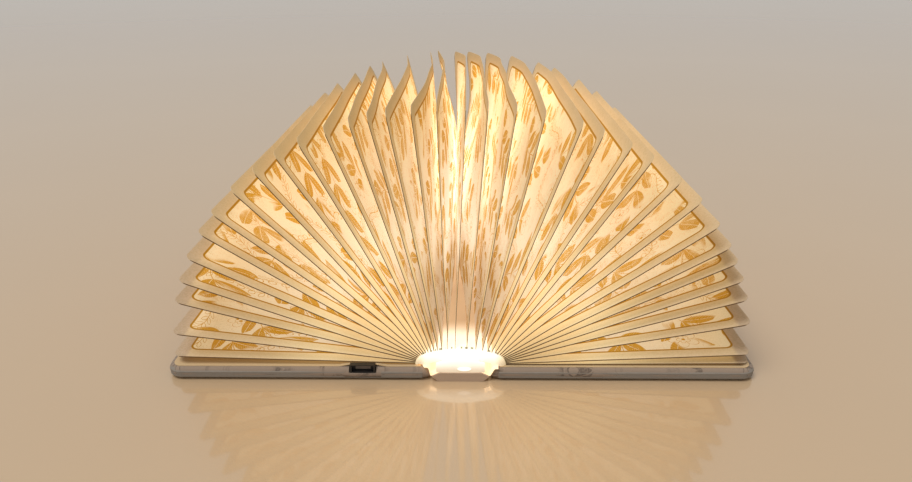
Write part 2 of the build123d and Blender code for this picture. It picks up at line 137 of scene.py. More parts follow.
class Bench:
    """Modelling steps on one piece at a time."""

    @staticmethod
    def hold(piece: bpy.types.Object) -> None:
        """Makes a piece the only selected one, and the active one.

        Args:
            piece: the piece to hold.
        """
        bpy.ops.object.select_all(action="DESELECT")
        piece.select_set(True)
        bpy.context.view_layer.objects.active = piece

    @staticmethod
    def plane(
        name: str, x_span: tuple[float, float], y_span: tuple[float, float], z: float
    ) -> bpy.types.Object:
        """Adds a flat rectangle.

        Args:
            name: the piece's name.
            x_span: its lowest and highest X.
            y_span: its lowest and highest Y.
            z: its height.

        Returns:
            The new piece, with its place in its mesh.
        """
        bpy.ops.object.select_all(action="DESELECT")
        bpy.ops.mesh.primitive_plane_add(size=1, location=(sum(x_span) / 2, sum(y_span) / 2, z))
        bpy.ops.transform.resize(value=(x_span[1] - x_span[0], y_span[1] - y_span[0], 1))
        return Bench.named(name)

    @staticmethod
    def block(name: str, low: Sequence[float], high: Sequence[float]) -> bpy.types.Object:
        """Adds a box between two corners.

        Args:
            name: the piece's name.
            low: its lowest corner.
            high: its highest corner.

        Returns:
            The new piece, with its place in its mesh.
        """
        bpy.ops.object.select_all(action="DESELECT")
        middle = (Vector(low) + Vector(high)) / 2
        bpy.ops.mesh.primitive_cube_add(size=1, location=middle)
        bpy.ops.transform.resize(value=Vector(high) - Vector(low))
        return Bench.named(name)

    @staticmethod
    def named(name: str) -> bpy.types.Object:
        """Names the piece just added and puts its place into its mesh.

        Args:
            name: the piece's name.

        Returns:
            The piece.
        """
        piece = bpy.context.object
        piece.name = name
        piece.data.name = name
        bpy.ops.object.transform_apply(location=True, rotation=True, scale=True)
        return piece

    @staticmethod
    def open(piece: bpy.types.Object) -> None:
        """Enters edit mode on a piece with nothing selected.

        Args:
            piece: the piece to edit.
        """
        Bench.hold(piece)
        bpy.ops.object.mode_set(mode="EDIT")
        bpy.ops.mesh.select_all(action="DESELECT")

    @staticmethod
    def shut() -> None:
        """Leaves edit mode."""
        bpy.ops.object.mode_set(mode="OBJECT")

    @staticmethod
    def pick(kind: Part, test: Callable[[Vector, Vector], bool]) -> None:
        """Selects vertices or edges of the piece in edit mode by their middle and direction.

        Args:
            kind: vertices or edges.
            test: says whether a part with this middle and this direction is wanted. The direction is the
                normal of a vertex, and the run of an edge.
        """
        bpy.ops.mesh.select_mode(type=kind.name)
        bpy.ops.mesh.select_all(action="DESELECT")
        mesh = bmesh.from_edit_mesh(bpy.context.object.data)
        for part in getattr(mesh, kind.value):
            if kind is Part.VERT:
                middle, direction = part.co, part.normal
            else:
                middle = (part.verts[0].co + part.verts[1].co) / 2
                direction = (part.verts[1].co - part.verts[0].co).normalized()
            if test(middle, direction):
                part.select_set(True)
        mesh.select_flush_mode()
        bmesh.update_edit_mesh(bpy.context.object.data)

    @staticmethod
    def slice(axis: int, places: Sequence[float]) -> None:
        """Cuts the piece in edit mode across an axis, at several places.

        Args:
            axis: 0, 1 or 2 for X, Y or Z.
            places: where each cut goes.
        """
        for place in places:
            point, facing = [0.0] * 3, [0.0] * 3
            point[axis], facing[axis] = place, 1.0
            bpy.ops.mesh.select_all(action="SELECT")
            bpy.ops.mesh.bisect(plane_co=point, plane_no=facing)
        bpy.ops.mesh.select_all(action="DESELECT")

    @staticmethod
    def between(low: float, high: float, parts: int) -> list[float]:
        """Gives the places that divide a length into so many equal parts."""
        return [low + (high - low) * k / parts for k in range(1, parts)]

    @staticmethod
    def face_outwards(piece: bpy.types.Object) -> None:
        """Makes the faces of a piece agree, and point outwards.

        Args:
            piece: the piece to put right.
        """
        Bench.open(piece)
        bpy.ops.mesh.select_all(action="SELECT")
        bpy.ops.mesh.normals_make_consistent(inside=False)
        Bench.shut()

    @staticmethod
    def modify(piece: bpy.types.Object, kind: str, **settings: object) -> None:
        """Adds a modifier, sets it and applies it.

        Args:
            piece: the piece to modify.
            kind: the modifier's type.
            **settings: the modifier's values.
        """
        Bench.hold(piece)
        modifier = piece.modifiers.new(kind.title(), kind)
        for key, value in settings.items():
            setattr(modifier, key, value)
        bpy.ops.object.modifier_apply(modifier=modifier.name)

    @staticmethod
    def move_points(piece: bpy.types.Object, place: Callable[[Vector], Vector]) -> None:
        """Moves each vertex of a piece.

        Args:
            piece: the piece whose mesh is shaped.
            place: gives the new place of a vertex from its old one.
        """
        for vertex in piece.data.vertices:
            vertex.co = place(vertex.co)
        piece.data.update()

    @staticmethod
    def cut(piece: bpy.types.Object, low: Sequence[float], high: Sequence[float]) -> None:
        """Takes a box-shaped hole out of a piece.

        Args:
            piece: the piece to cut.
            low: the hole's lowest corner.
            high: the hole's highest corner.
        """
        cutter = Bench.block("cutter", low, high)
        Bench.modify(piece, "BOOLEAN", object=cutter, operation="DIFFERENCE", solver="EXACT")
        bpy.data.objects.remove(cutter, do_unlink=True)

    @staticmethod
    def twin(piece: bpy.types.Object, name: str) -> bpy.types.Object:
        """Copies a piece together with its mesh.

        Args:
            piece: the piece to copy.
            name: the copy's name.

        Returns:
            The copy.
        """
        copy = piece.copy()
        copy.data = piece.data.copy()
        copy.name = name
        copy.data.name = name
        bpy.context.collection.objects.link(copy)
        return copy

    @staticmethod
    def smooth(piece: bpy.types.Object, degrees: float = 40) -> None:
        """Shades a piece smooth, apart from edges bent by more than some degrees."""
        Bench.hold(piece)
        bpy.ops.object.shade_smooth_by_angle(angle=math.radians(degrees))

    @staticmethod
    def mark(piece: bpy.types.Object, name: str, values: Sequence[Sequence[float]]) -> None:
        """Writes three numbers for each vertex into a named attribute.

        Args:
            piece: the piece to mark.
            name: the attribute's name.
            values: three numbers for each vertex.
        """
        attribute = piece.data.attributes.new(name, "FLOAT_VECTOR", "POINT")
        for item, value in zip(attribute.data, values):
            item.vector = value

    @staticmethod
    def dress(piece: bpy.types.Object, *finishes: bpy.types.Material) -> None:
        """Gives a piece its materials, one for each slot.

        Args:
            piece: the piece to dress.
            *finishes: the materials, the first for slot 0.
        """
        piece.data.materials.clear()
        for finish in finishes:
            piece.data.materials.append(finish)


# ----------------------------------------------------------------------------------------------------
# Finishes
# ----------------------------------------------------------------------------------------------------


class NodeDesk:
    """Lays out the shader nodes of one finish."""

    MIX_INPUTS = (0, 6, 7)  # the share and the two colours, on a node that mixes colours
    MIX_OUTPUT = 2

    def __init__(self, name: str) -> None:
        """Starts a material with a surface shader.

        Args:
            name: the material's name.
        """
        self.material = bpy.data.materials.new(name)
        self.material.use_nodes = True
        self.tree = self.material.node_tree
        self.tree.nodes.clear()
        self.surface = self.tree.nodes.new("ShaderNodeBsdfPrincipled")
        end = self.tree.nodes.new("ShaderNodeOutputMaterial")
        self.tree.links.new(self.surface.outputs["BSDF"], end.inputs["Surface"])

    def feed(self, socket: Socket, value: object) -> None:
        """Links a socket into another, or sets its value.

        Args:
            socket: the input to feed.
            value: an output socket, a number or a colour.
        """
        if isinstance(value, Socket):
            self.tree.links.new(value, socket)
        else:
            socket.default_value = value

    def finish(self, **values: object) -> bpy.types.Material:
        """Feeds the surface shader and hands over the material.

        Args:
            **values: the shader's inputs, with underscores for the blanks in their names.

        Returns:
            The finished material.
        """
        for key, value in values.items():
            self.feed(self.surface.inputs[key.replace("_", " ")], value)
        return self.material

    def math(self, operation: str, first: Value, second: Value = 0.0, third: Value = 0.0) -> Socket:
        """Adds a math node.

        Args:
            operation: the node's operation.
            first: its first value.
            second: its second value.
            third: its third value.

        Returns:
            The result.
        """
        node = self.tree.nodes.new("ShaderNodeMath")
        node.operation = operation
        for socket, value in zip(node.inputs, (first, second, third)):
            self.feed(socket, value)
        return node.outputs[0]

    def plus(self, first: Value, second: Value) -> Socket:
        """Adds two values."""
        return self.math("ADD", first, second)

    def minus(self, first: Value, second: Value) -> Socket:
        """Takes the second value from the first."""
        return self.math("SUBTRACT", first, second)

    def over(self, first: Value, second: Value) -> Socket:
        """Divides the first value by the second."""
        return self.math("DIVIDE", first, second)

    def linear(self, value: Value, factor: Value, start: Value) -> Socket:
        """Multiplies a value by a factor and adds a start."""
        return self.math("MULTIPLY_ADD", value, factor, start)

    def size(self, value: Value) -> Socket:
        """Drops the sign of a value."""
        return self.math("ABSOLUTE", value)

    def length(self, x: Value, y: Value) -> Socket:
        """Gives the length of a vector in a plane."""
        return self.math("SQRT", self.plus(self.math("POWER", x, 2.0), self.math("POWER", y, 2.0)))

    def step(self, value: Value, low: float, high: float) -> Socket:
        """Adds a smooth step from 0 at low to 1 at high, which may be the lower number.

        Args:
            value: the number to place.
            low: where the step starts.
            high: where the step is whole.

        Returns:
            The share, from 0 to 1.
        """
        node = self.tree.nodes.new("ShaderNodeMapRange")
        node.interpolation_type = "SMOOTHSTEP"
        start, end = (0.0, 1.0) if low < high else (1.0, 0.0)
        keys = ("Value", "From Min", "From Max", "To Min", "To Max")
        for key, setting in zip(keys, (value, min(low, high), max(low, high), start, end)):
            self.feed(node.inputs[key], setting)
        return node.outputs["Result"]

    def most(self, *values: Value) -> Socket:
        """Takes the largest of several values.

        Args:
            *values: the values.

        Returns:
            The largest.
        """
        best = values[0]
        for value in values[1:]:
            best = self.math("MAXIMUM", best, value)
        return best

    def product(self, *values: Value) -> Socket:
        """Multiplies several values.

        Args:
            *values: the values.

        Returns:
            Their product.
        """
        result = values[0]
        for value in values[1:]:
            result = self.math("MULTIPLY", result, value)
        return result

    def mix(self, kind: str, share: Value, first: object, second: object) -> Socket:
        """Adds a node that mixes two colours.

        Args:
            kind: the way of mixing.
            share: how far the mix goes.
            first: the first colour.
            second: the second colour.

        Returns:
            The mixed colour.
        """
        node = self.tree.nodes.new("ShaderNodeMix")
        node.data_type = "RGBA"
        node.blend_type = kind
        for place, value in zip(self.MIX_INPUTS, (share, first, second)):
            self.feed(node.inputs[place], value)
        return node.outputs[self.MIX_OUTPUT]

    def blend(self, share: Value, first: object, second: object) -> Socket:
        """Goes from the first colour, at 0, to the second, at 1."""
        return self.mix("MIX", share, first, second)

    def tinted(self, first: object, second: object) -> Socket:
        """Multiplies two colours."""
        return self.mix("MULTIPLY", 1.0, first, second)

    def shade(self, colour: object, amount: Value) -> Socket:
        """Scales a colour towards black.

        Args:
            colour: the colour.
            amount: 1 keeps it, 0 gives black.

        Returns:
            The scaled colour.
        """
        node = self.tree.nodes.new("ShaderNodeVectorMath")
        node.operation = "SCALE"
        self.feed(node.inputs[0], colour[:3] if isinstance(colour, tuple) else colour)
        self.feed(node.inputs["Scale"], amount)
        return node.outputs[0]

    def ramp(self, share: Value, stops: Sequence[tuple[float, Tone]]) -> Socket:
        """Adds a colour ramp.

        Args:
            share: the place on the ramp.
            stops: places and colours.

        Returns:
            The colour.
        """
        node = self.tree.nodes.new("ShaderNodeValToRGB")
        node.color_ramp.interpolation = "EASE"
        elements = node.color_ramp.elements
        elements[0].position, elements[0].color = stops[0]
        elements[1].position, elements[1].color = stops[-1]
        for place, colour in stops[1:-1]:
            element = elements.new(place)
            element.color = colour
        self.feed(node.inputs["Fac"], share)
        return node.outputs["Color"]

    def own(self) -> Socket:
        """Gives the piece's own object coordinates."""
        return self.tree.nodes.new("ShaderNodeTexCoord").outputs["Object"]

    def mark(self, name: str) -> Socket:
        """Reads a vector attribute of the mesh.

        Args:
            name: the attribute's name.

        Returns:
            The vector.
        """
        node = self.tree.nodes.new("ShaderNodeAttribute")
        node.attribute_type = "GEOMETRY"
        node.attribute_name = name
        return node.outputs["Vector"]

    def split(self, vector: Socket) -> tuple[Socket, Socket, Socket]:
        """Takes a vector apart.

        Args:
            vector: the vector.

        Returns:
            Its three numbers.
        """
        node = self.tree.nodes.new("ShaderNodeSeparateXYZ")
        self.feed(node.inputs[0], vector)
        return node.outputs[0], node.outputs[1], node.outputs[2]

    def join(self, x: Value, y: Value, z: Value) -> Socket:
        """Makes a vector of three numbers.

        Args:
            x: the first number.
            y: the second number.
            z: the third number.

        Returns:
            The vector.
        """
        node = self.tree.nodes.new("ShaderNodeCombineXYZ")
        for socket, value in zip(node.inputs, (x, y, z)):
            self.feed(socket, value)
        return node.outputs[0]

    def noise(self, vector: Socket, scale: float, detail: float, stretch: Vector | None = None) -> Socket:
        """Adds soft noise.

        Args:
            vector: the coordinates.
            scale: the noise's scale.
            detail: how many finer layers it has.
            stretch: factors for the coordinates, for a drawn-out grain.

        Returns:
            The noise, about 0.5.
        """
        node = self.tree.nodes.new("ShaderNodeTexNoise")
        if stretch is not None:
            mapping = self.tree.nodes.new("ShaderNodeMapping")
            mapping.inputs["Scale"].default_value = stretch
            self.feed(mapping.inputs["Vector"], vector)
            vector = mapping.outputs[0]
        self.feed(node.inputs["Vector"], vector)
        self.feed(node.inputs["Scale"], scale)
        self.feed(node.inputs["Detail"], detail)
        return node.outputs["Fac"]

    def chance(self, vector: Socket) -> tuple[Socket, Socket, Socket]:
        """Draws three fixed random numbers for each vector.

        Args:
            vector: the coordinates of a cell.

        Returns:
            Three numbers from 0 to 1.
        """
        node = self.tree.nodes.new("ShaderNodeTexWhiteNoise")
        node.noise_dimensions = "3D"
        self.feed(node.inputs["Vector"], vector)
        return self.split(node.outputs["Color"])

    def bump(self, height: Socket, strength: float, distance: float) -> Socket:
        """Adds a bump.

        Args:
            height: the height map.
            strength: how much it shows.
            distance: the height in metres that 1 stands for.

        Returns:
            The normal.
        """
        node = self.tree.nodes.new("ShaderNodeBump")
        node.inputs["Strength"].default_value = strength
        node.inputs["Distance"].default_value = distance
        self.feed(node.inputs["Height"], height)
        return node.outputs["Normal"]


@dataclass(frozen=True)
class SprigStyle:
    """A printed twig with leaves in pairs, in millimetres."""

    rows: float = 38.0  # between twigs side by side
    pitch: float = 15.0  # between pairs of leaves
    length: float = 22.0
    width: float = 4.2  # half a leaf's width
    lean: float = 38.0  # degrees from twig to leaf
    sway: float = 5.0
    sway_length: float = 70.0
    line: float = 0.22
    filled: bool = True
    shift: float = 0.37  # share of a pitch by which each twig is moved on from the last
    rib_pitch: float = 1.7
    rib_slant: float = 0.55
    rib_depth: float = 0.3  # how much paler the ribs of a filled leaf are

    def lay(self, desk: NodeDesk, along: Socket, across: Socket) -> Socket:
        """Draws the twigs.

        Args:
            desk: where the nodes go.
            along: the coordinate along the twigs.
            across: the coordinate across them.

        Returns:
            1 on the print, 0 off it.
        """
        bend = desk.math("SINE", desk.product(along, 2 * math.pi / self.sway_length))
        swayed = desk.linear(bend, -self.sway, across)
        row = desk.math("ROUND", desk.over(swayed, self.rows))
        off = desk.size(desk.linear(row, -self.rows, swayed))
        start = desk.linear(row, self.shift * self.pitch, along)
        pair = desk.math("FLOOR", desk.over(start, self.pitch))
        run = desk.linear(pair, -self.pitch, start)
        cosine, sine = math.cos(math.radians(self.lean)), math.sin(math.radians(self.lean))
        reach = desk.linear(run, cosine, desk.product(off, sine))
        aside = desk.size(desk.linear(off, cosine, desk.product(run, -sine)))
        share = desk.over(reach, self.length)
        belly = desk.product(4 * self.width, share, desk.minus(1.0, share))
        inside = desk.minus(belly, aside)
        twig = desk.step(off, self.line * 1.5, self.line * 0.7)
        if not self.filled:
            rim = desk.step(desk.size(inside), self.line, self.line * 0.5)
            return desk.most(twig, rim)
        vein = desk.step(aside, self.line * 0.4, self.line * 0.9)
        rib = desk.math("FRACT", desk.linear(aside, -self.rib_slant, desk.over(reach, self.rib_pitch)))
        rib = desk.step(desk.size(desk.minus(rib, 0.5)), 0.05, 0.16)
        ribbed = desk.linear(rib, self.rib_depth, 1 - self.rib_depth)
        leaf = desk.product(desk.step(inside, 0.0, self.line), vein, ribbed)
        return desk.most(twig, leaf)


@dataclass(frozen=True)
class BloomStyle:
    """Printed flowers of round petals, drawn in outline, in millimetres."""

    cell: float = 44.0
    radius: float = 8.0
    petals: int = 5
    line: float = 0.22
    stray: float = 0.4  # share of a cell over which a flower strays from its middle
    least: float = 0.7  # share of the radius that the smallest flower has
    spread: float = 0.5  # how much more the largest has
    lobe: float = 0.42  # share of a petal that stands out
    ring: float = 0.45  # where the inner outline runs

    def lay(self, desk: NodeDesk, along: Socket, across: Socket, seed: Value) -> Socket:
        """Draws the flowers.

        Args:
            desk: where the nodes go.
            along: the coordinate along the print.
            across: the coordinate across it.
            seed: what tells one sheet's flowers from another's.

        Returns:
            1 on the print, 0 off it.
        """
        places, cells = [], []
        for value in (along, across):
            cell = desk.math("FLOOR", desk.over(value, self.cell))
            cells.append(cell)
            places.append(desk.minus(value, desk.linear(cell, self.cell, self.cell / 2)))
        draws = desk.chance(desk.join(cells[0], cells[1], seed))
        for k in (0, 1):
            stray = desk.linear(draws[k], -self.cell * self.stray, self.cell * self.stray / 2)
            places[k] = desk.plus(places[k], stray)
        out = desk.length(places[0], places[1])
        turn = desk.linear(draws[2], TURN, desk.math("ARCTAN2", places[1], places[0]))
        lobes = desk.size(desk.math("COSINE", desk.product(turn, self.petals / 2)))
        size = desk.linear(draws[0], self.spread, self.least)
        edge = desk.product(self.radius, size, desk.linear(lobes, self.lobe, 1 - self.lobe))
        outer = desk.step(desk.size(desk.minus(out, edge)), self.line, self.line * 0.4)
        inner = desk.step(desk.size(desk.linear(edge, -self.ring, out)), self.line, self.line * 0.4)
        heart = desk.step(out, self.radius * 0.16, self.radius * 0.1)
        spoke = desk.product(desk.step(lobes, 0.14, 0.06), desk.step(desk.minus(edge, out), 0.0, 0.4))
        return desk.most(outer, inner, heart, spoke)


@dataclass(frozen=True)
class LeafPaper:
    """Stiff ivory paper with a gold frame line and gold sprigs, with a painted glow from its root that stands
    in for the lamp's light through it, in millimetres.
    """

    base: Tone = tone("#d6bea3")
    fibre: Tone = tone("#c8b08f")
    gold: Tone = tone("#b0801a")
    # painted shade: the dark line along the front and back edges, where each leaf's cut edge lies in shadow
    rim: Tone = tone("#5a3f20")
    reach: float = 134.8
    half_height: float = 102.5
    frame_inset: float = 6.9  # from the free edge
    frame_side: float = 8.4  # from the front and back edges
    frame_radius: float = 4.5
    frame_line: float = 1.15
    rim_band: tuple[float, float] = (0.85, 0.45)  # from the front and back edges
    worn_band: tuple[float, float] = (10.0, 1.0)  # from the nearest edge
    soiling: float = 0.16  # how much darker the paper is at its edges
    # colours of the painted glow: in the margins, on the gold print and on the frame line, and a painted hot
    # spot
    margin_tint: Tone = (1.0, 0.88, 0.62, 1.0)
    lit_gold: Tone = (0.66, 0.36, 0.0, 1.0)
    lit_line: Tone = (0.30, 0.17, 0.03, 1.0)
    hot_spot: Tone = (1.0, 1.0, 0.94, 1.0)  # on the middle leaves
    # shares that set the strength of the painted glow
    margin_light: float = 0.62  # light in the front and back margins, as a share of that inside the frame
    near_light: float = 0.6  # more of it towards the root
    tip_light: tuple[float, float] = (0.06, 0.42)  # along the free edge, and how much more on a high leaf
    behind_light: float = 0.8  # more light on the back half of a high leaf
    steep_shade: float = 0.3  # how much darker the roots of the steep leaves are
    print_draw: tuple[float, float] = (3.7, 1.3)  # picks the draws that turn and slide the print
    print_turn: tuple[float, float] = (0.3, 2.6)  # least turn of the print, and how much more it may be
    print_slide: float = 90.0
    # painted glow from the root to the free edge, standing in for the lamp's light through the sheet
    glow: tuple[tuple[float, Tone], ...] = (
        (0.0, (0.50, 0.47, 0.38, 1)),
        (0.08, (0.44, 0.39, 0.28, 1)),
        (0.25, (0.50, 0.45, 0.32, 1)),
        (0.4, (0.54, 0.52, 0.40, 1)),
        (0.7, (0.50, 0.45, 0.30, 1)),
        (0.9, (0.46, 0.38, 0.21, 1)),
        (1.0, (0.36, 0.29, 0.13, 1)),
    )  # light through the sheet, from its root to its free edge

    def make(self) -> bpy.types.Material:
        """Builds the paper's material.

        Returns:
            The material.
        """
        desk = NodeDesk("leaf_paper")
        place = desk.mark("print_place")
        along, across, seed = desk.split(place)
        side = desk.size(across)
        to_side = desk.minus(self.half_height, side)
        edge = desk.step(to_side, *self.rim_band)
        worn_and_shaded = desk.step(desk.math("MINIMUM", desk.minus(self.reach, along), to_side), *self.worn_band)
        frame_line, inside = self.frame(desk, along, side)
        print_mask = desk.most(frame_line, desk.product(self.motifs(desk, along, across, seed), inside))
        fibres = desk.noise(place, 0.9, 5.0)
        colour = desk.blend(print_mask, self.paper(desk, place, fibres, worn_and_shaded), self.gold)
        # painted shade: a dark line along the front and back edges, where the glow is also taken away
        colour = desk.blend(desk.product(edge, 0.9), colour, self.rim)
        # ink here is the tint of the painted glow: warm in the margins, white inside the frame, gold on the
        # print
        ink = desk.blend(print_mask, desk.blend(inside, self.margin_tint, WHITE), self.lit_gold)
        ink = desk.blend(desk.product(frame_line, 0.8), ink, self.lit_line)
        glow, strength = self.light(desk, place, inside, worn_and_shaded)
        strength = desk.product(strength, desk.linear(edge, -0.97, 1.0))
        desk.material.cycles.emission_sampling = "NONE"
        return desk.finish(
            Base_Color=colour,
            Roughness=0.62,
            Specular_IOR_Level=0.18,
            Emission_Color=desk.shade(desk.tinted(glow, ink), strength),
            Emission_Strength=1.0,
            Normal=desk.bump(fibres, 0.12, 0.0002),
        )

    def paper(self, desk: NodeDesk, place: Socket, fibres: Socket, worn_and_shaded: Socket) -> Socket:
        """Mixes the bare paper's colour out of fibres, mottles and soiled edges.

        Args:
            desk: where the nodes go.
            place: the place on the leaf.
            fibres: the fine noise of the fibres.
            worn_and_shaded: 1 at the edges, 0 away from them.

        Returns:
            The colour.
        """
        mottle = desk.step(desk.noise(place, 0.06, 2.0), 0.35, 0.8)
        colour = desk.blend(desk.step(fibres, 0.3, 0.75), self.base, self.fibre)
        colour = desk.blend(desk.product(mottle, 0.35), colour, self.fibre)
        return desk.shade(colour, desk.linear(worn_and_shaded, -self.soiling, 1.0))

    def light(self, desk: NodeDesk, place: Socket, inside: Socket, worn_and_shaded: Socket) -> tuple[Socket, Socket]:
        """Paints the glow that stands in for the lamp's light through the sheet, from its root, more inside
        the frame than in the margins.

        Args:
            desk: where the nodes go.
            place: the place on the leaf.
            inside: 1 inside the frame.
            worn_and_shaded: 1 at the edges, 0 away from them.

        Returns:
            The painted glow's colour, and its strength.
        """
        along, across, _ = desk.split(place)
        lamp, hot, raised = desk.split(desk.mark("lamp_share"))
        upper = desk.math("MINIMUM", raised, 1.0)
        steep = desk.most(desk.minus(raised, 1.0), 0.0)
        glow = desk.ramp(desk.over(along, self.reach), self.glow)
        middle = desk.product(hot, desk.step(along, 115.0, 70.0), desk.step(along, 25.0, 60.0))
        glow = desk.blend(middle, glow, self.hot_spot)
        line = self.reach - self.frame_inset
        beyond = desk.step(along, line - 2.0, line + 1.0)
        front = desk.linear(worn_and_shaded, -0.14, self.margin_light)
        front = desk.linear(desk.step(along, 105.0, 35.0), self.near_light, front)
        tip = desk.linear(upper, self.tip_light[1], self.tip_light[0])
        margin = desk.linear(beyond, desk.minus(tip, front), front)
        margin = desk.linear(inside, desk.minus(1.0, margin), margin)
        margin = desk.most(margin, desk.step(along, 12.0, 2.0))
        back = desk.product(desk.step(across, -55.0, 25.0), desk.step(across, 104.0, 66.0))
        margin = desk.plus(margin, desk.product(back, inside, upper, self.behind_light))
        clouds = desk.linear(desk.noise(place, 0.02, 1.0), 0.4, 0.8)
        shaded = desk.linear(desk.product(steep, desk.step(along, 60.0, 20.0)), -self.steep_shade, 1.0)
        return glow, desk.product(margin, lamp, clouds, shaded)

    def frame(self, desk: NodeDesk, along: Socket, side: Socket) -> tuple[Socket, Socket]:
        """Draws the gold frame line with its rounded corners.

        Args:
            desk: where the nodes go.
            along: millimetres from the leaf's root.
            side: millimetres from the leaf's middle, front or back.

        Returns:
            1 on the line, and 1 inside the frame.
        """
        edge = self.reach - self.frame_inset
        over_x = desk.minus(along, edge - self.frame_radius)
        over_y = desk.minus(side, self.half_height - self.frame_side - self.frame_radius)
        corner = desk.length(desk.most(over_x, 0.0), desk.most(over_y, 0.0))
        inner = desk.math("MINIMUM", desk.most(over_x, over_y), 0.0)
        gap = desk.minus(desk.plus(corner, inner), self.frame_radius)
        line = desk.step(desk.size(gap), self.frame_line * 0.65, self.frame_line * 0.4)
        return line, desk.step(gap, 0.0, -0.8)

    def motifs(self, desk: NodeDesk, along: Socket, across: Socket, seed: Socket) -> Socket:
        """Draws the sprigs and flowers inside the frame, turned another way on each leaf.

        Args:
            desk: where the nodes go.
            along: millimetres from the leaf's root.
            across: millimetres from the leaf's middle.
            seed: the leaf's number.

        Returns:
            1 on the print, 0 off it.
        """
        draws = desk.chance(desk.join(seed, *self.print_draw))
        turn = desk.linear(draws[0], self.print_turn[1], self.print_turn[0])
        cosine, sine = desk.math("COSINE", turn), desk.math("SINE", turn)
        u = desk.minus(desk.product(along, cosine), desk.product(across, sine))
        v = desk.plus(desk.product(along, sine), desk.product(across, cosine))
        u = desk.linear(draws[1], self.print_slide, u)
        v = desk.linear(draws[2], self.print_slide, v)
        bold = SprigStyle().lay(desk, u, v)
        fine = SprigStyle(
            rows=47, pitch=5.2, length=6.0, width=1.3, lean=48, sway=9, sway_length=52, filled=False
        )
        thin = fine.lay(desk, v, u)
        blooms = BloomStyle().lay(desk, u, v, seed)
        patch = desk.step(desk.noise(desk.join(u, v, seed), 0.035, 1.0), 0.41, 0.47)
        return desk.most(desk.product(bold, patch), thin, blooms)


@dataclass(frozen=True)
class LeafRim:
    """The cut edge of the leaf paper, coloured dark as painted shade."""

    # painted shade: the thin cut edge is coloured as though in shadow
    colour: Tone = tone("#6b4c28")

    def make(self) -> bpy.types.Material:
        """Builds the edge's material.

        Returns:
            The material.
        """
        desk = NodeDesk("leaf_rim")
        grain = desk.noise(desk.own(), 900.0, 3.0)
        colour = desk.blend(grain, self.colour, tuple(0.7 * c for c in self.colour[:3]) + (1.0,))
        return desk.finish(Base_Color=colour, Roughness=0.8)


@dataclass(frozen=True)
class LitFilm:
    """The thin translucent film of the arch, lit from below, with dabs of glue along its ends."""

    hot: Tone = (1.0, 0.93, 0.78, 1.0)
    warm: Tone = (1.0, 0.74, 0.40, 1.0)
    shaded: Tone = (1.0, 0.66, 0.34, 1.0)  # away from its ends, between the leaves
    base: Tone = tone("#f4e3c4")
    shaded_base: Tone = tone("#b08c60")
    glue: Tone = (0.42, 0.42, 0.30, 1.0)
    glue_base: Tone = tone("#6f6f60")
    strength: float = 0.92
    feet: tuple[float, float] = (0.0185, 0.0245)  # from the middle to its feet
    turned: tuple[float, float] = (0.1020, 0.1028)  # towards its ends, where it turns in
    low: tuple[float, float] = (0.0135, 0.0075)  # heights towards the light unit
    deep: tuple[float, float] = (0.092, 0.070)  # from its ends inwards
    glued: tuple[tuple[float, float], ...] = ((0.1006, 0.1012), (0.1026, 0.102))  # both edges of the dabs

    def make(self) -> bpy.types.Material:
        """Builds the film's material.

        Returns:
            The material.
        """
        desk = NodeDesk("lit_film")
        own = desk.own()
        x, y, z = desk.split(own)
        aside = desk.step(desk.size(x), *self.feet)
        out = desk.size(y)
        turned = desk.product(desk.step(out, *self.turned), desk.step(z, *self.low))
        # painted shade: away from its ends, between the leaves, the film's glow dims and warms and its base
        # colour turns tan
        deep = desk.step(out, *self.deep)
        colour = desk.blend(desk.product(deep, 0.85), desk.blend(aside, self.hot, self.warm), self.shaded)
        streaks = desk.noise(own, 60.0, 2.0, Vector((1, 0.1, 1)))
        losses = ((aside, 0.42), (deep, 0.5), (turned, 0.56))
        dimmed = [desk.linear(share, -loss, 1.0) for share, loss in losses]
        power = desk.product(*dimmed, desk.linear(streaks, 0.2, 0.9))
        dabs = desk.step(desk.noise(own, 420.0, 0.0, Vector((1, 0.02, 0.02))), 0.56, 0.62)
        for edge in self.glued:
            dabs = desk.product(dabs, desk.step(out, *edge))
        light = desk.tinted(desk.shade(colour, power), desk.blend(dabs, WHITE, self.glue))
        desk.material.cycles.emission_sampling = "NONE"
        return desk.finish(
            Base_Color=desk.blend(dabs, desk.blend(deep, self.base, self.shaded_base), self.glue_base),
            Roughness=0.5,
            Emission_Color=light,
            Emission_Strength=self.strength,
        )


@dataclass(frozen=True)
class GrooveFilm:
    """The film in the groove over each hinge, with a painted glow for the light unit's light along the book,
    dimmer towards the bottom of the groove as painted shade.
    """

    base: Tone = tone("#e6d2b2")
    light: Tone = (0.66, 0.50, 0.32, 1.0)
    strength: float = 1.0
    rise: tuple[float, float] = (0.0032, 0.0070)  # heights from the bottom of the groove to its edge

    def make(self) -> bpy.types.Material:
        """Builds the film's material.

        Returns:
            The material.
        """
        desk = NodeDesk("groove_film")
        own = desk.own()
        # painted light: the glow grows from the groove's bottom to its edge
        depth = desk.step(desk.split(own)[2], *self.rise)
        power = desk.linear(depth, 0.35, 0.65)
        power = desk.product(power, desk.linear(desk.noise(own, 300.0, 2.0), 0.2, 0.9))
        return desk.finish(
            Base_Color=self.base,
            Roughness=0.55,
            Emission_Color=desk.shade(self.light, power),
            Emission_Strength=self.strength,
        )


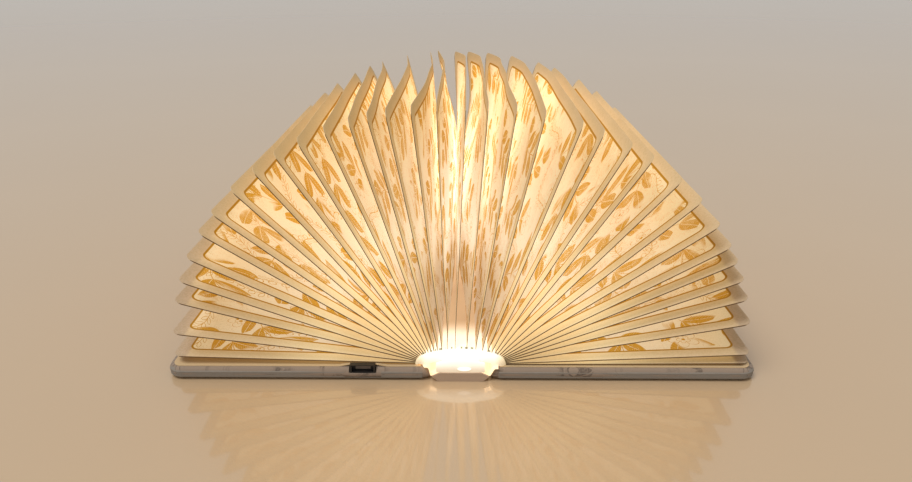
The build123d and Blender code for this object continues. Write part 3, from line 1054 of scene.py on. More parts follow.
@dataclass(frozen=True)
class BookCloth:
    """Pale book cloth with a grey print of sprigs, which runs on round the edges of the board."""

    name: str
    base: Tone = tone("#aa9786")
    thread: Tone = tone("#958271")
    ink: Tone = tone("#5c5148")
    pale_ink: Tone = tone("#817468")
    # painted shade: the dark colour in the creases of the pleats
    crease: Tone = tone("#4f443c")
    weave: float = 0.55 * MM
    flat: tuple[float, float] = (0.158, 0.104)  # X and Y past which the cloth goes down round the edge
    corner: tuple[float, float] = (0.155, 0.0985)  # X and Y that the pleats run round
    pleat_count: float = 2.6  # creases in a radian
    pleat_slant: float = 0.32  # radians that a crease has turned at the board's thickness
    pleat_rise: float = 137.0  # one over that thickness
    pleats: bool = False
    printed: bool = True

    def make(self) -> bpy.types.Material:
        """Builds the cloth's material.

        Returns:
            The material.
        """
        desk = NodeDesk(self.name)
        own = desk.own()
        x, y, z = desk.split(own)
        u, v = self.unrolled(desk, x, z, self.flat[0]), self.unrolled(desk, y, z, self.flat[1])
        threads = self.threads(desk, u, v)
        cloth = desk.blend(threads, self.thread, self.base)
        cloth = desk.blend(desk.product(desk.noise(own, 25.0, 3.0), 0.3), cloth, self.thread)
        colour = self.print_on(desk, cloth, own, u, v) if self.printed else cloth
        height = threads
        if self.pleats:
            folds = self.folds(desk, x, y, z)
            # painted shade in the creases, which also get a bump
            colour = desk.blend(desk.product(folds, 0.7), colour, self.crease)
            height = desk.linear(folds, -6.0, threads)
        return desk.finish(
            Base_Color=colour,
            Roughness=0.85,
            Specular_IOR_Level=0.25,
            Sheen_Weight=0.15,
            Normal=desk.bump(height, 0.35, 0.00012),
        )

    def print_on(self, desk: NodeDesk, cloth: Socket, own: Socket, u: Socket, v: Socket) -> Socket:
        """Prints the sprigs and flowers on the cloth.

        Args:
            desk: where the nodes go.
            cloth: the bare cloth's colour.
            own: the piece's coordinates.
            u: the coordinate across the unrolled cloth.
            v: the coordinate along it.

        Returns:
            The printed colour.
        """
        u_mm, v_mm = desk.product(u, 1000.0), desk.product(v, 1000.0)
        bold = SprigStyle(
            rows=26, pitch=12.5, length=12.0, width=2.9, lean=41, sway=5, sway_length=61, line=0.4
        )
        small = SprigStyle(
            rows=33, pitch=7, length=6.5, width=1.5, lean=52, sway=6, sway_length=45, line=0.35
        )
        turned_u = desk.linear(v_mm, 0.42, desk.product(u_mm, 0.91))
        turned_v = desk.linear(v_mm, 0.91, desk.product(u_mm, -0.42))
        blotch = desk.step(desk.noise(own, 38.0, 1.0), 0.46, 0.53)
        heavy = desk.product(bold.lay(desk, turned_u, turned_v), blotch)
        light = small.lay(desk, turned_v, turned_u)
        blooms = BloomStyle(cell=38, radius=7, line=0.4).lay(desk, u_mm, v_mm, 5.0)
        rubbed = desk.linear(desk.step(desk.noise(own, 700.0, 3.0), 0.35, 0.62), 0.45, 0.55)
        colour = desk.blend(desk.product(light, rubbed, 0.5), cloth, self.pale_ink)
        colour = desk.blend(desk.product(blooms, rubbed, 0.45), colour, self.pale_ink)
        return desk.blend(desk.product(heavy, rubbed, 0.8), colour, self.ink)

    def unrolled(self, desk: NodeDesk, across: Socket, up: Socket, flat: float) -> Socket:
        """Lays the print round an edge: past the flat part, height counts as further out.

        Args:
            desk: where the nodes go.
            across: the coordinate across the board.
            up: the height.
            flat: the coordinate at which the edge starts.

        Returns:
            The coordinate on the unrolled cloth.
        """
        past = desk.math("GREATER_THAN", desk.size(across), flat)
        rise = desk.product(past, up, desk.math("SIGN", across))
        return desk.plus(across, rise)

    def threads(self, desk: NodeDesk, u: Socket, v: Socket) -> Socket:
        """Draws the plain weave.

        Args:
            desk: where the nodes go.
            u: the coordinate along one set of threads.
            v: the coordinate along the other.

        Returns:
            The height of the threads, from 0 to 1.
        """
        turn = 2 * math.pi / self.weave
        warp = desk.math("SINE", desk.product(u, turn))
        weft = desk.math("SINE", desk.product(v, turn))
        return desk.linear(desk.product(warp, weft), 0.5, 0.5)

    def folds(self, desk: NodeDesk, x: Socket, y: Socket, z: Socket) -> Socket:
        """Draws the creases where the cloth is gathered round the outer corners, for their painted shade and
        bump.

        Args:
            desk: where the nodes go.
            x: the coordinate across the book.
            y: the coordinate along it.
            z: the height.

        Returns:
            1 in a crease, 0 off it.
        """
        from_x = desk.minus(desk.size(x), self.corner[0])
        from_y = desk.minus(desk.size(y), self.corner[1])
        turn = desk.math("ARCTAN2", from_y, from_x)
        risen = desk.math("POWER", desk.product(z, self.pleat_rise), 2.0)
        slant = desk.linear(risen, self.pleat_slant, turn)
        phase = desk.math("FRACT", desk.product(slant, self.pleat_count))
        crease = desk.step(desk.size(desk.minus(phase, 0.5)), 0.10, 0.02)
        near = desk.product(desk.step(from_x, -0.003, 0.001), desk.step(from_y, -0.007, -0.001))
        return desk.product(crease, near, desk.step(z, 0.0008, 0.003))


@dataclass(frozen=True)
class PlainPaper:
    """Matt endpaper."""

    base: Tone = tone("#d8bd94")
    dark: Tone = tone("#cbad82")

    def make(self) -> bpy.types.Material:
        """Builds the endpaper's material.

        Returns:
            The material.
        """
        desk = NodeDesk("endpaper")
        own = desk.own()
        fibres = desk.noise(own, 800.0, 4.0)
        clouds = desk.noise(own, 30.0, 2.0)
        share = desk.linear(clouds, 0.5, desk.product(fibres, 0.4))
        colour = desk.blend(share, self.base, self.dark)
        return desk.finish(Base_Color=colour, Roughness=0.75, Normal=desk.bump(fibres, 0.15, 0.0002))


@dataclass(frozen=True)
class Moulded:
    """Moulded plastic, film, board or metal: one colour with fine grain, soiling and, where lit, a glow."""

    name: str
    base: Tone
    dark: Tone
    grain: float = 400.0
    roughness: float = 0.45
    metallic: float = 0.0
    depth: float = 0.00005
    transmission: float = 0.0
    glow: Tone | None = None
    glow_strength: float = 0.0

    def make(self) -> bpy.types.Material:
        """Builds the material.

        Returns:
            The material.
        """
        desk = NodeDesk(self.name)
        own = desk.own()
        grain = desk.noise(own, self.grain, 4.0)
        soil = desk.noise(own, 35.0, 3.0)
        share = desk.linear(grain, 0.5, desk.product(soil, 0.35))
        colour = desk.blend(share, self.base, self.dark)
        rough = desk.linear(grain, 0.16, self.roughness - 0.08)
        material = desk.finish(
            Base_Color=colour,
            Roughness=rough,
            Metallic=self.metallic,
            Transmission_Weight=self.transmission,
            Normal=desk.bump(grain, 0.2, self.depth),
        )
        if self.glow is not None:
            lit = desk.linear(soil, 0.3, 0.85)
            desk.finish(Emission_Color=desk.shade(self.glow, lit), Emission_Strength=self.glow_strength)
        return material


@dataclass(frozen=True)
class Opal:
    """Opal plastic, lit from inside, whiter towards its top, with an optional painted highlight on a lens."""

    name: str = "opal"
    span: tuple[float, float] = (0.0055, 0.0112)  # heights between which it turns from low to high
    strength: float = 1.0
    base: Tone = tone("#e8dcc6")
    low: Tone = (0.80, 0.52, 0.30, 1.0)
    high: Tone = (1.0, 0.86, 0.64, 1.0)
    # painted highlight: a brighter ellipse on the lens of the front window
    lens: tuple[float, float] | None = None  # X and Z of the bright lens in the front window
    lens_fit: tuple[float, float] = (240.0, 700.0)  # one over its half width and half height
    lens_light: Tone = (1.0, 0.95, 0.86, 1.0)

    def make(self) -> bpy.types.Material:
        """Builds the opal material.

        Returns:
            The material.
        """
        desk = NodeDesk(self.name)
        own = desk.own()
        x, y, z = desk.split(own)
        rise = desk.step(z, *self.span)
        grain = desk.noise(own, 500.0, 2.0)
        light = desk.blend(rise, self.low, self.high)
        # painted highlight on the lens, on the front side only
        if self.lens is not None:
            off_x = desk.product(desk.minus(x, self.lens[0]), self.lens_fit[0])
            off_z = desk.product(desk.minus(z, self.lens[1]), self.lens_fit[1])
            off = desk.plus(desk.math("POWER", off_x, 2.0), desk.math("POWER", off_z, 2.0))
            spot = desk.product(desk.step(off, 1.0, 0.6), desk.step(y, 0.0, -0.001))
            light = desk.blend(spot, light, self.lens_light)
        return desk.finish(
            Base_Color=self.base,
            Roughness=desk.linear(grain, 0.1, 0.2),
            Emission_Color=desk.shade(light, desk.linear(grain, 0.1, 0.95)),
            Emission_Strength=self.strength,
        )


class FinishShelf:
    """Every finish of the lamp, made once."""

    def __init__(self) -> None:
        """Makes the finishes."""
        self.leaf_paper = LeafPaper().make()
        self.leaf_rim = LeafRim().make()
        self.lit_film = LitFilm().make()
        self.opal = Opal().make()
        self.window = Opal(
            "window",
            span=(0.005, 0.0115),
            low=(0.36, 0.27, 0.17, 1.0),
            high=(0.66, 0.62, 0.54, 1.0),
            lens=(0.0021, 0.0078),
        ).make()
        self.groove_film = GrooveFilm().make()
        self.cover_cloth = BookCloth(name="cover_cloth", pleats=True).make()
        self.spine_cloth = BookCloth("spine_cloth", tone("#cdb298"), tone("#bca188"), printed=False).make()
        self.endpaper = PlainPaper().make()
        self.white_plastic = Moulded("white_plastic", tone("#e9e6df"), tone("#d9d5cb")).make()
        self.black_plastic = Moulded("black_plastic", tone("#1d1c1d"), tone("#2b2928"), 900, 0.4).make()
        self.greyboard = Moulded("greyboard", tone("#9a9186"), tone("#847b70"), 700, 0.9, depth=0.0003).make()
        self.circuit = Moulded("circuit", tone("#dfe3dc"), tone("#c7cdc4"), 1200, 0.35).make()
        self.phosphor = Moulded(
            "phosphor",
            tone("#ffd98a"),
            tone("#f2c36a"),
            grain=900,
            roughness=0.3,
            glow=(1.0, 0.8, 0.5, 1.0),
            glow_strength=3.0,
        ).make()
        self.reed_glass = Moulded(
            "reed_glass", tone("#dfe9e2"), tone("#cfdad3"), 300, 0.1, transmission=0.8
        ).make()
        self.lead_film = Moulded("lead_film", tone("#d8cfbd"), tone("#c4b79f"), 600, 0.4).make()
        self.nickel = Moulded("nickel", tone("#c9c7c3"), tone("#b2afa9"), 1500, 0.22, metallic=1.0).make()
        self.foil = Moulded(
            "foil", tone("#c6c9cd"), tone("#aeb2b8"), 250, 0.35, metallic=1.0, depth=0.0004
        ).make()


# ----------------------------------------------------------------------------------------------------
# Leaves
# ----------------------------------------------------------------------------------------------------


@dataclass(frozen=True)
class LeafPlace:
    """Where one leaf stands at rest."""

    name: str
    side: Side
    tilt: float  # radians above the table
    root: Vector
    reach: float

    @property
    def joint(self) -> str:
        """The name of the joint that turns this leaf."""
        return f"{self.name}_turn"

    @property
    def along(self) -> Vector:
        """The direction from the root to the free edge."""
        return Vector((self.side.value * math.cos(self.tilt), 0, math.sin(self.tilt)))

    @property
    def normal(self) -> Vector:
        """The direction across the sheet."""
        return self.along.cross(Vector((0, 1, 0)))

    @property
    def matrix(self) -> Matrix:
        """What carries a flat sheet with its root on the Y axis to this place.

        Returns:
            The matrix.
        """
        columns = (self.along, Vector((0, 1, 0)), self.normal, self.root)
        rows = [[column[k] for column in columns] for k in range(3)]
        return Matrix([*rows, [0, 0, 0, 1]])


@dataclass
class LeafFan:
    """The 35 leaves, numbered from the left cover to the right one."""

    shelf: FinishShelf
    left_tilts: tuple[float, ...] = (
        1.6, 7.4, 15.4, 20.6, 26.7, 33.5, 38.8, 45.4, 51.9, 57.4, 62.9, 68.5, 73.2, 76.9, 80, 84.3, 88.2,
    )  # fmt: skip
    right_tilts: tuple[float, ...] = (
        87.5, 85.7, 82, 77.3, 70.6, 66.6, 60.9, 56, 48.5, 42, 35.2, 29.5, 25.9, 21.3, 16.9, 10.2, 2.6, 0.5,
    )  # fmt: skip
    leans: dict[int, float] = field(
        default_factory=lambda: {
            2: 2, 3: 4, 4: 6, 5: 8, 6: 10, 7: 12, 8: 13.5, 9: 15, 10: 14, 11: 15, 12: 15, 13: 14.5, 14: 13,
            24: -4.4, 25: -7.5, 26: -8, 27: -6.5, 28: -5, 29: -4, 30: -3, 31: -2, 32: -1,
        }
    )  # fmt: skip  # mm from front to back that a leaf's free edge turns to the left
    curls: dict[int, float] = field(
        default_factory=lambda: {
            14: 1.5, 15: 4.7, 16: 1.8, 17: 6.6, 18: 8.4, 19: 9, 20: 9, 21: 6.6, 22: 4.3, 23: 2.1, 24: 1,
        }
    )  # fmt: skip  # mm that the back end of its free edge curls to the left
    bulges: dict[int, float] = field(
        default_factory=lambda: {16: 4.2, 21: 3, 22: 2.5, 23: 1}
    )  # mm that its middle lies to the right
    curl_starts: tuple[float, float] = (0.42, 0.62)  # left and right of the gap, as shares of the back half
    tucked: range = range(18, 24)  # the leaves drawn in where they curl over
    tuck: float = 0.24  # how far, as a share of the curl
    middle_pair: tuple[int, int] = (17, 18)
    meeting: float = -3.6 * MM  # the X at which the two middle leaves come close together, behind
    apart: float = 0.22 * MM  # how far each of them stays from that line
    widening: float = 0.25 * MM  # how far the line moves to the right towards its back end
    pressed: int = 19  # the leaf that bellies up to them
    press: float = 0.75 * MM  # how far to the right of the line it does
    thickness: float = 0.25 * MM
    half_height: float = 102.5 * MM
    corner_radius: float = 6 * MM
    wave: float = 0.55 * MM  # the most that a sheet waves from front to back
    bow: float = 0.8 * MM  # the most that it bows from root to free edge
    curl: float = 0.6 * MM  # the most that its corners curl by chance
    calm: dict[int, float] = field(
        default_factory=lambda: {1: 0.35, 17: 0.35, 18: 0.35, 34: 0.35, 35: 0.12}
    )  # share of its waves that a leaf has room for
    # painted hot spot: extra glow in the middle of the middle leaves
    hot: dict[int, float] = field(
        default_factory=lambda: {17: 0.3, 18: 0.3, 19: 0.15}
    )  # how bright the middle leaves are in their middle
    flattened: float = 0.03  # share of a leaf's waves left when the book is shut
    seed: int = 700
    pattern: int = 5  # the leaf whose reach stands for all
    places: list[LeafPlace] = field(default_factory=list)

    def measure(self) -> None:
        """Reads each leaf's place off its solid, from the left cover to the right one."""
        tilts = [(Side.LEFT, t) for t in self.left_tilts] + [(Side.RIGHT, t) for t in self.right_tilts]
        for number, (side, degrees) in enumerate(tilts, 1):
            name = f"leaf_{number:02d}"
            low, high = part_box(name)
            tilt = math.radians(degrees)
            sine, cosine = math.sin(tilt), math.cos(tilt)
            near = high.x if side is Side.LEFT else low.x
            x = near + side.value * self.thickness / 2 * sine
            z = low.z + self.thickness / 2 * cosine
            wide = high.x - low.x - self.thickness * sine
            tall = high.z - low.z - self.thickness * cosine
            self.places.append(LeafPlace(name, side, tilt, Vector((x, 0, z)), math.hypot(wide, tall)))

    def sheet(self, reach: float) -> bpy.types.Object:
        """Models one flat leaf, with its root on the Y axis.

        Args:
            reach: from the root to the free edge.

        Returns:
            The leaf.
        """
        leaf = Bench.plane("leaf", (0, reach), (-self.half_height, self.half_height), 0)
        Bench.open(leaf)
        Bench.pick(Part.VERT, lambda middle, _: middle.x > reach - MM)
        bpy.ops.mesh.bevel(offset=self.corner_radius, offset_type="OFFSET", segments=9, affect="VERTICES")
        Bench.slice(0, Bench.between(0, reach, 12) + [reach - self.corner_radius])
        Bench.slice(1, Bench.between(-self.half_height, self.half_height, 24))
        Bench.shut()
        Bench.modify(leaf, "SOLIDIFY", thickness=self.thickness, offset=0, material_offset_rim=1)
        return leaf

    def ripple(self, number: int, place: LeafPlace) -> Callable[[float, float], float]:
        """Chooses the soft waves of one leaf.

        Args:
            number: the leaf's number, which seeds them.
            place: where the leaf stands.

        Returns:
            The height of the sheet off its plane at a place on it.
        """
        draw = random.Random(self.seed + number)
        room = self.calm.get(number, 1.0)
        wave, bow = draw.uniform(0.4, 1) * self.wave * room, draw.uniform(-1, 1) * self.bow * room
        phase, waves = draw.uniform(0, TURN), draw.uniform(1.2, 2.6)
        curl = draw.uniform(-1, 1) * self.curl * room
        shapes = (self.leans, self.curls, self.bulges)
        lean, back_curl, bulge = (shape.get(number, 0.0) * MM for shape in shapes)
        start = self.curl_starts[0 if place.side is Side.LEFT else 1]

        def height(x: float, y: float) -> float:
            """Gives the height of the sheet off its plane.

            Args:
                x: the distance from the root.
                y: the place from front to back.

            Returns:
                The height.
            """
            out = min(1.0, max(0.0, x / place.reach))
            run = y / self.half_height
            swell = wave * out**1.5 * math.sin(phase + waves * math.pi * run)
            bend = bow * math.sin(math.pi * out) * (0.6 + 0.4 * run) + curl * out**4 * run**4
            leaned = lean * (run + 1) / 2 * out**1.2
            curled = back_curl * max(0.0, (run - start) / (1 - start)) ** 1.15 * out**1.3
            bulged = bulge * (1 - ((run - 0.2) / 1.2) ** 2) * out**1.3
            if number in self.middle_pair:
                return swell + bend + curled * eased(out, 0.45, 1.0) - self.pull(place, out, run)
            if number == self.pressed:
                belly = self.belly(place, out, run)
                return swell + bend + belly + curled * (0.3 + 0.75 * eased(out, 0.55, 1))
            return swell + bend + leaned + curled - bulged

        return height

    def drop(self, number: int, place: LeafPlace, point: Vector) -> float:
        """Draws a sheet in towards its root where its back end curls over.

        Args:
            number: the leaf's number.
            place: where the leaf stands.
            point: a point of the flat sheet.

        Returns:
            How far the point moves towards the root.
        """
        if number not in self.tucked:
            return 0.0
        out, run = max(0.0, point.x / place.reach), point.y / self.half_height
        return self.tuck * self.curls[number] * MM * max(0.0, (run - 0.6) / 0.4) ** 1.3 * out**2

    def flat_x(self, place: LeafPlace, out: float) -> float:
        """Gives the X of a flat sheet at a share of its reach."""
        return place.root.x + place.along.x * place.reach * out

    def belly(self, place: LeafPlace, out: float, run: float) -> float:
        """Gives how far the lower half of a leaf moves to the left, towards the two middle leaves."""
        share = eased(out, 0, 0.1) * eased(run, -0.95, 0.1) * eased(out, 0.85, 0.2)
        return (self.flat_x(place, out) - self.meeting - self.press) * share

    def pull(self, place: LeafPlace, out: float, run: float) -> float:
        """Draws the backs of the two middle leaves together below their tips.

        Args:
            place: where the leaf stands.
            out: from 0 at its root to 1 at its free edge.
            run: from -1 at its front to 1 at its back.

        Returns:
            How far the leaf moves to the right.
        """
        line = self.meeting + self.widening * eased(run, 0.45, 1.1) + place.side.value * self.apart
        front = -0.95 - 0.4 * eased(out, 0.4, 0.1)
        share = eased(out, 0, 0.1) * eased(run, front, 0.1) * eased(out, 1.0, 0.5)
        return (line - self.flat_x(place, out)) * share

    def build(self) -> None:
        """Builds every leaf, puts it in its place and lets it ride on its body."""
        pattern = self.sheet(self.places[self.pattern - 1].reach)
        for number, place in enumerate(self.places, 1):
            leaf = Bench.twin(pattern, f"paper_{place.name}")
            height = self.ripple(number, place)
            prints = [(v.co.x / MM, v.co.y / MM, float(number)) for v in leaf.data.vertices]
            degrees = math.degrees(place.tilt)
            # shares of the painted glow on each leaf, read by its material
            upper = eased(degrees, 5, 50)
            lamp = 0.7 + 0.3 * upper - 0.22 * eased(degrees, 60, 84)
            shares = (lamp, self.hot.get(number, 0.0), upper + eased(degrees, 64, 80))
            Bench.mark(leaf, "print_place", prints)
            Bench.mark(leaf, "lamp_share", [shares] * len(prints))
            matrix = place.matrix
            Bench.move_points(
                leaf,
                lambda p: matrix @ Vector((p.x - self.drop(number, place, p), p.y, p.z + height(p.x, p.y))),
            )
            Bench.dress(leaf, self.shelf.leaf_paper, self.shelf.leaf_rim)
            Bench.smooth(leaf)
            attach(leaf, place.name)
            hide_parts(place.name)
            place.joint
            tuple(place.normal)
            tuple(place.root)
            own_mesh(leaf)
        bpy.data.objects.remove(pattern, do_unlink=True)
        log.info("leaves: %d", len(self.places))


# ----------------------------------------------------------------------------------------------------
# The lit arch
# ----------------------------------------------------------------------------------------------------


@dataclass
class ArchLiner:
    """The lit film between the roots of the leaves, one narrow strip from each root to the next."""

    shelf: FinishShelf
    half_length: float = 101 * MM
    thickness: float = 0.4 * MM
    bulge: float = 0.22 * MM  # how far a strip stands out between two roots
    slack: float = 0.12  # the most that a strip bulges, as a share of its width
    end_radius: float = 2.1 * MM
    end_run: float = 7.4 * MM  # the turned-in length at each end
    closed_left: tuple[float, float] = (-10.2 * MM, -3.9 * MM)  # X of the roots when the book is shut
    closed_right: tuple[float, float] = (-3.0 * MM, 11.3 * MM)
    foot: Vector = field(default_factory=lambda: Vector((25.0, 0, 7.45)) * MM)  # the right one

    def strip(self) -> bpy.types.Object:
        """Models one flat strip of unit width, from X 0 to 1, with the length of its two turned-in ends.

        Returns:
            The strip.
        """
        whole = self.half_length + self.end_run
        strip = Bench.plane("strip", (0, 1), (-whole, whole), 0)
        Bench.open(strip)
        Bench.slice(0, Bench.between(0, 1, 6))
        bends = [self.half_length + math.pi / 2 * self.end_radius * k / 4 for k in range(5)]
        Bench.slice(1, [-bend for bend in bends] + bends)
        Bench.slice(1, Bench.between(-self.half_length, self.half_length, 8))
        Bench.shut()
        return strip

    def turned_in(self, along: float) -> tuple[float, float]:
        """Rolls a place past the strip's straight part over its end.

        Args:
            along: the place's Y on the flat strip.

        Returns:
            Its Y on the bent strip, and how far it has come inwards.
        """
        past = abs(along) - self.half_length
        if past <= 0:
            return along, 0.0
        turn = min(past / self.end_radius, math.pi / 2)
        out = self.half_length + self.end_radius * math.sin(turn)
        down = self.end_radius * (1 - math.cos(turn)) + max(0.0, past - math.pi / 2 * self.end_radius)
        return math.copysign(out, along), down

    def lay(
        self, pattern: bpy.types.Object, name: str, ends: tuple[Vector, Vector], inward: tuple[Vector, Vector]
    ) -> bpy.types.Object:
        """Places one strip from a root towards its neighbour.

        Args:
            pattern: the strip of unit width.
            name: the piece's name.
            ends: the root that the strip stays on, and the other root.
            inward: the direction into the arch at each of them.

        Returns:
            The strip.
        """
        strip = Bench.twin(pattern, name)
        start, end = ends
        run = end - start
        bulge = min(self.bulge, run.length * self.slack)

        def place(point: Vector) -> Vector:
            """Bends the flat strip into the arch.

            Args:
                point: a vertex of the flat strip.

            Returns:
                Its new place.
            """
            y, down = self.turned_in(point.y)
            into = inward[0].lerp(inward[1], point.x).normalized()
            rise = bulge * math.sin(math.pi * point.x) * (1 - min(1.0, down / self.end_radius))
            return start + run * point.x + into * (down - rise) + Vector((0, y, 0))

        Bench.move_points(strip, place)
        Bench.face_outwards(strip)
        Bench.modify(strip, "SOLIDIFY", thickness=self.thickness, offset=0)
        Bench.dress(strip, self.shelf.lit_film)
        Bench.smooth(strip)
        return strip

    def inward_ways(self, roots: Sequence[Vector]) -> list[Vector]:
        """Finds the direction into the arch at each root.

        Args:
            roots: the roots, from the left foot to the right one.

        Returns:
            A direction for each root.
        """
        ways = []
        for number in range(len(roots)):
            before, after = roots[max(0, number - 1)], roots[min(len(roots) - 1, number + 1)]
            run = (after - before).normalized()
            ways.append(Vector((run.z, 0, -run.x)))
        return ways

    def build(self, places: Sequence[LeafPlace]) -> None:
        """Builds the strips, each riding on the outer leaf of its pair.

        Args:
            places: where the leaves stand.
        """
        pattern = self.strip()
        left_foot = Vector((-self.foot.x, 0, self.foot.z))
        roots = [left_foot] + [p.root for p in places]
        ways = self.inward_ways(roots)
        lefts = sum(p.side is Side.LEFT for p in places)
        left_step = (self.closed_left[1] - self.closed_left[0]) / (lefts - 1)
        right_step = (self.closed_right[1] - self.closed_right[0]) / (len(places) - lefts - 1)
        pairs = [(k, k + 1, left_step) for k in range(1, lefts)]
        pairs.append((lefts, lefts + 1, self.closed_right[0] - self.closed_left[1]))
        pairs += [(k, k - 1, right_step) for k in range(lefts + 2, len(roots))]
        pairs.append((1, 0, left_step))
        for number, (near, far, closed) in enumerate(pairs, 1):
            place = places[near - 1]
            ends = (roots[near], roots[far])
            strip = self.lay(pattern, f"liner_strip_{number:02d}", ends, (ways[near], ways[far]))
            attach(strip, place.name)
            place.joint
            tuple(place.root)
            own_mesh(strip)
            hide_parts(f"liner_{place.side.word}")
        bpy.data.objects.remove(pattern, do_unlink=True)
        log.info("liner strips: %d", len(pairs))


@dataclass
class EndWindow:
    """The opal window that closes the light unit under one end of the arch."""

    shelf: FinishShelf
    end: End
    half_width: float = 13.4 * MM
    yielded: float = 0.8  # share of its width left when the cover beside it stands up
    low: float = 5.3 * MM
    high: float = 12.1 * MM
    shoulder: float = 2.4 * MM  # how much lower its sides are
    outer: float = 106.9 * MM
    inner: float = 104.4 * MM
    thickness: float = 0.4 * MM
    lens: Vector = field(default_factory=lambda: Vector((2.1, 0, 8.1)) * MM)
    lens_size: Vector = field(default_factory=lambda: Vector((4.2, 0.75, 1.9)) * MM)

    def build(self) -> None:
        """Builds both halves of the window."""
        for side in Side:
            self.half(side)
        log.info("%s window", self.end.word)

    def half(self, side: Side) -> None:
        """Models half of the window as a sheet that leans back and rounds over.

        Args:
            side: the side of the middle that it closes.
        """
        edge = side.value * self.half_width
        window = Bench.plane(f"{self.end.word}_window_{side.word}", (min(0, edge), max(0, edge)), (0, 1), 0)
        Bench.open(window)
        Bench.slice(0, Bench.between(0, edge, 18))
        Bench.slice(1, Bench.between(0, 1, 14))
        Bench.shut()
        Bench.move_points(window, self.rounded)
        Bench.face_outwards(window)
        Bench.modify(window, "SOLIDIFY", thickness=self.thickness, offset=0)
        Bench.dress(window, self.shelf.window)
        Bench.smooth(window, 60)
        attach(window, "spine")
        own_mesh(window)

    def rounded(self, point: Vector) -> Vector:
        """Raises a place of the flat sheet to its place on the window.

        Args:
            point: a vertex, with Y from 0 at the foot to 1 at the top.

        Returns:
            Its new place.
        """
        aside = abs(point.x) / self.half_width
        top = self.high - self.shoulder * aside**2.4
        turn = point.y * math.pi / 2
        z = self.low + (top - self.low) * math.sin(turn) ** 0.85
        depth = self.inner + (self.outer - self.inner) * math.cos(turn) ** 0.7 - 0.5 * MM * aside**4
        off_x = (point.x - self.lens.x) / self.lens_size.x
        off_z = (z - self.lens.z) / self.lens_size.z
        bump = max(0.0, 1 - off_x**2 - off_z**2) ** 0.5 if self.end is End.FRONT else 0.0
        return Vector((point.x, self.end.value * (depth + self.lens_size.y * bump * 0.5), z))


# ----------------------------------------------------------------------------------------------------
# Covers, spine and hinges
# ----------------------------------------------------------------------------------------------------


